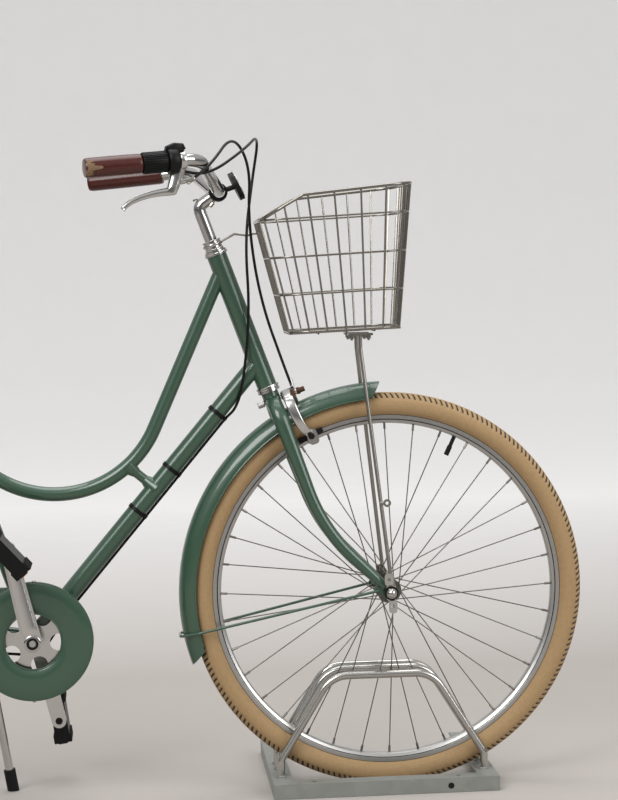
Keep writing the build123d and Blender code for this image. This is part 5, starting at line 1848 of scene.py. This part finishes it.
@dataclass
class Studio:
    """Floor, soft lights and the camera that stands where the photograph was taken.

    Attributes:
        eye: Camera's place in metres.
        yaw: Camera's turn to the right, in degrees.
        pitch: Camera's look down, in degrees.
        roll: Camera's roll, in degrees.
        focal: Focal length in pixels of the photograph.
        axis: Pixel that the camera's axis meets.
        size: Photograph's width and height in pixels.
        sensor: Sensor's longer side in millimetres.
        front: Floor's edge behind the camera.
        back: Where the floor begins to curve up.
        bend: Radius of the curve.
        half: Half width of floor and wall.
        top: Height of the wall.
        sink: Floor's depth under the tyres.
        sky: Colours of the light from the horizon and from above.
        fade: Heights in the sky between which the one turns into the other.
        strength: Strength of the light from all round.
        lamps: Name, place and target in metres, side length in metres and power in watts of each lamp.
    """

    eye: tuple[float, float, float] = (0.090, -4.161, 0.928)
    yaw: float = 7.35
    pitch: float = 2.96
    roll: float = 0.85
    focal: float = 2326.2
    axis: tuple[float, float] = (422.8, 390.6)
    size: tuple[int, int] = (618, 800)
    sensor: float = 36.0
    front: float = -16000.0
    back: float = 14000.0
    bend: float = 3000.0
    half: float = 22000.0
    top: float = 6000.0
    sink: float = 0.5
    sky: tuple[str, str] = ("#858588", "#ffffff")
    fade: tuple[float, float] = (0.05, 0.55)
    strength: float = 0.7
    lamps: tuple[tuple, ...] = (
        ("key_light", (-2.2, -3.6, 3.6), (0.1, 0, 0.5), 2.6, 150),
        ("fill_light", (3.4, -2.6, 2.2), (0.2, 0, 0.5), 2.4, 70),
        ("top_light", (0.2, 0.4, 4.2), (0.2, 0, 0.4), 3.0, 90))

    def camera(self) -> None:
        """Camera with the shift that the photograph's crop gives it."""
        yaw, pitch, roll = np.radians([self.yaw, self.pitch, self.roll])
        ahead = vec(np.sin(yaw), np.cos(yaw), 0)
        right = vec(np.cos(yaw), -np.sin(yaw), 0)
        look = ahead * np.cos(pitch) - UP * np.sin(pitch)
        down = -UP * np.cos(pitch) - ahead * np.sin(pitch)
        x_axis = right * np.cos(roll) + down * np.sin(roll)
        y_axis = -(down * np.cos(roll) - right * np.sin(roll))
        data = bpy.data.cameras.new("photo_camera")
        longest = max(self.size)
        data.sensor_width = self.sensor
        data.lens = self.focal * self.sensor / longest
        data.shift_x = (self.size[0] / 2 - self.axis[0]) / longest
        data.shift_y = (self.axis[1] - self.size[1] / 2) / longest
        camera = linked("photo_camera", data)
        put(camera, (x_axis, y_axis, -look), self.eye)
        bpy.context.scene.camera = camera

    def floor(self) -> None:
        """Pale floor that curves up into a wall behind the bicycle."""
        angle = np.linspace(0, np.pi / 2, 24)
        y = np.concatenate([[self.front], self.back + self.bend * np.sin(angle), [self.back + self.bend]])
        z = np.concatenate([[0.0], self.bend * (1 - np.cos(angle)), [self.top]]) - self.sink
        x = np.linspace(-self.half, self.half, 3)
        points = np.stack(np.broadcast_arrays(x[None, :], y[:, None], z[:, None]), -1)
        shape = Shape("studio_floor").grid(points)
        mesh = bpy.data.meshes.new("studio_floor")
        mesh.from_pydata((np.concatenate(shape.points) * MM).tolist(), [], shape.faces)
        mesh.shade_smooth()
        mesh.materials.append(PAPER.material())
        floor = linked("studio_floor", mesh)

    def light(self, name: str, place: tuple[float, float, float], target: tuple[float, float, float],
              size: float, power: float) -> None:
        """Soft square light.

        Args:
            name: Name of the light.
            place: Its place in metres.
            target: Point that it faces.
            size: Side length in metres.
            power: Power in watts.
        """
        data = bpy.data.lights.new(name, "AREA")
        data.size, data.energy = size, power
        lamp = linked(name, data)
        back = unit(np.array(place) - np.array(target))
        side = unit(np.cross(UP if abs(back[2]) < 0.95 else LEFT, back))
        put(lamp, (side, np.cross(back, side), back), place)

    def world(self) -> None:
        """Pale light from all round, greyer near the horizon."""
        world = bpy.data.worlds.new("studio_light")
        world.use_nodes = True
        shade = world.node_tree.nodes["Background"]
        tree = world.node_tree
        place = add(tree, "ShaderNodeTexCoord").outputs["Generated"]
        height = add(tree, "ShaderNodeSeparateXYZ", {"Vector": place}).outputs["Z"]
        sky = mixed(tree, ranged(tree, height, *self.fade), *(linear(colour) for colour in self.sky))
        tree.links.new(sky, shade.inputs["Color"])
        shade.inputs["Strength"].default_value = self.strength
        bpy.context.scene.world = world

    def dress(self) -> None:
        """Sets up floor, light and camera."""
        self.world()
        self.floor()
        for lamp in self.lamps:
            self.light(*lamp)
        self.camera()


def dress_nodes() -> None:
    """Gives every CAD node that stays visible its finish."""
    for finish, names in NODE_FINISH.items():
        for name in names.split():
            mesh = frame["nodes"][name].data
            mesh.materials.clear()
            mesh.materials.append(finish.material())
            LOG.info("node %s: %s", name, finish.name)


def main() -> None:
    """Dresses the bicycle and sets up the studio."""
    logging.basicConfig(level=logging.INFO, format="%(name)s %(message)s")
    bpy.context.scene.view_settings.view_transform = "Standard"
    dress_nodes()
    Wheel("front", Body.FRONT_WHEEL, LAYOUT.front_axle, flange=(18.5, 34.0)).dress()
    Wheel("rear", Body.REAR_WHEEL, LAYOUT.rear_axle, flange=(33.5, 28.0), valve_angle=140.0).dress()
    controls = Controls()
    controls.dress()
    Cables(controls).dress()
    Brake().dress()
    Guards().dress()
    Drive().dress()
    Saddle().dress()
    Basket().dress()
    Carriers().dress()
    Studio().dress()


if __name__ == "__main__":
    main()
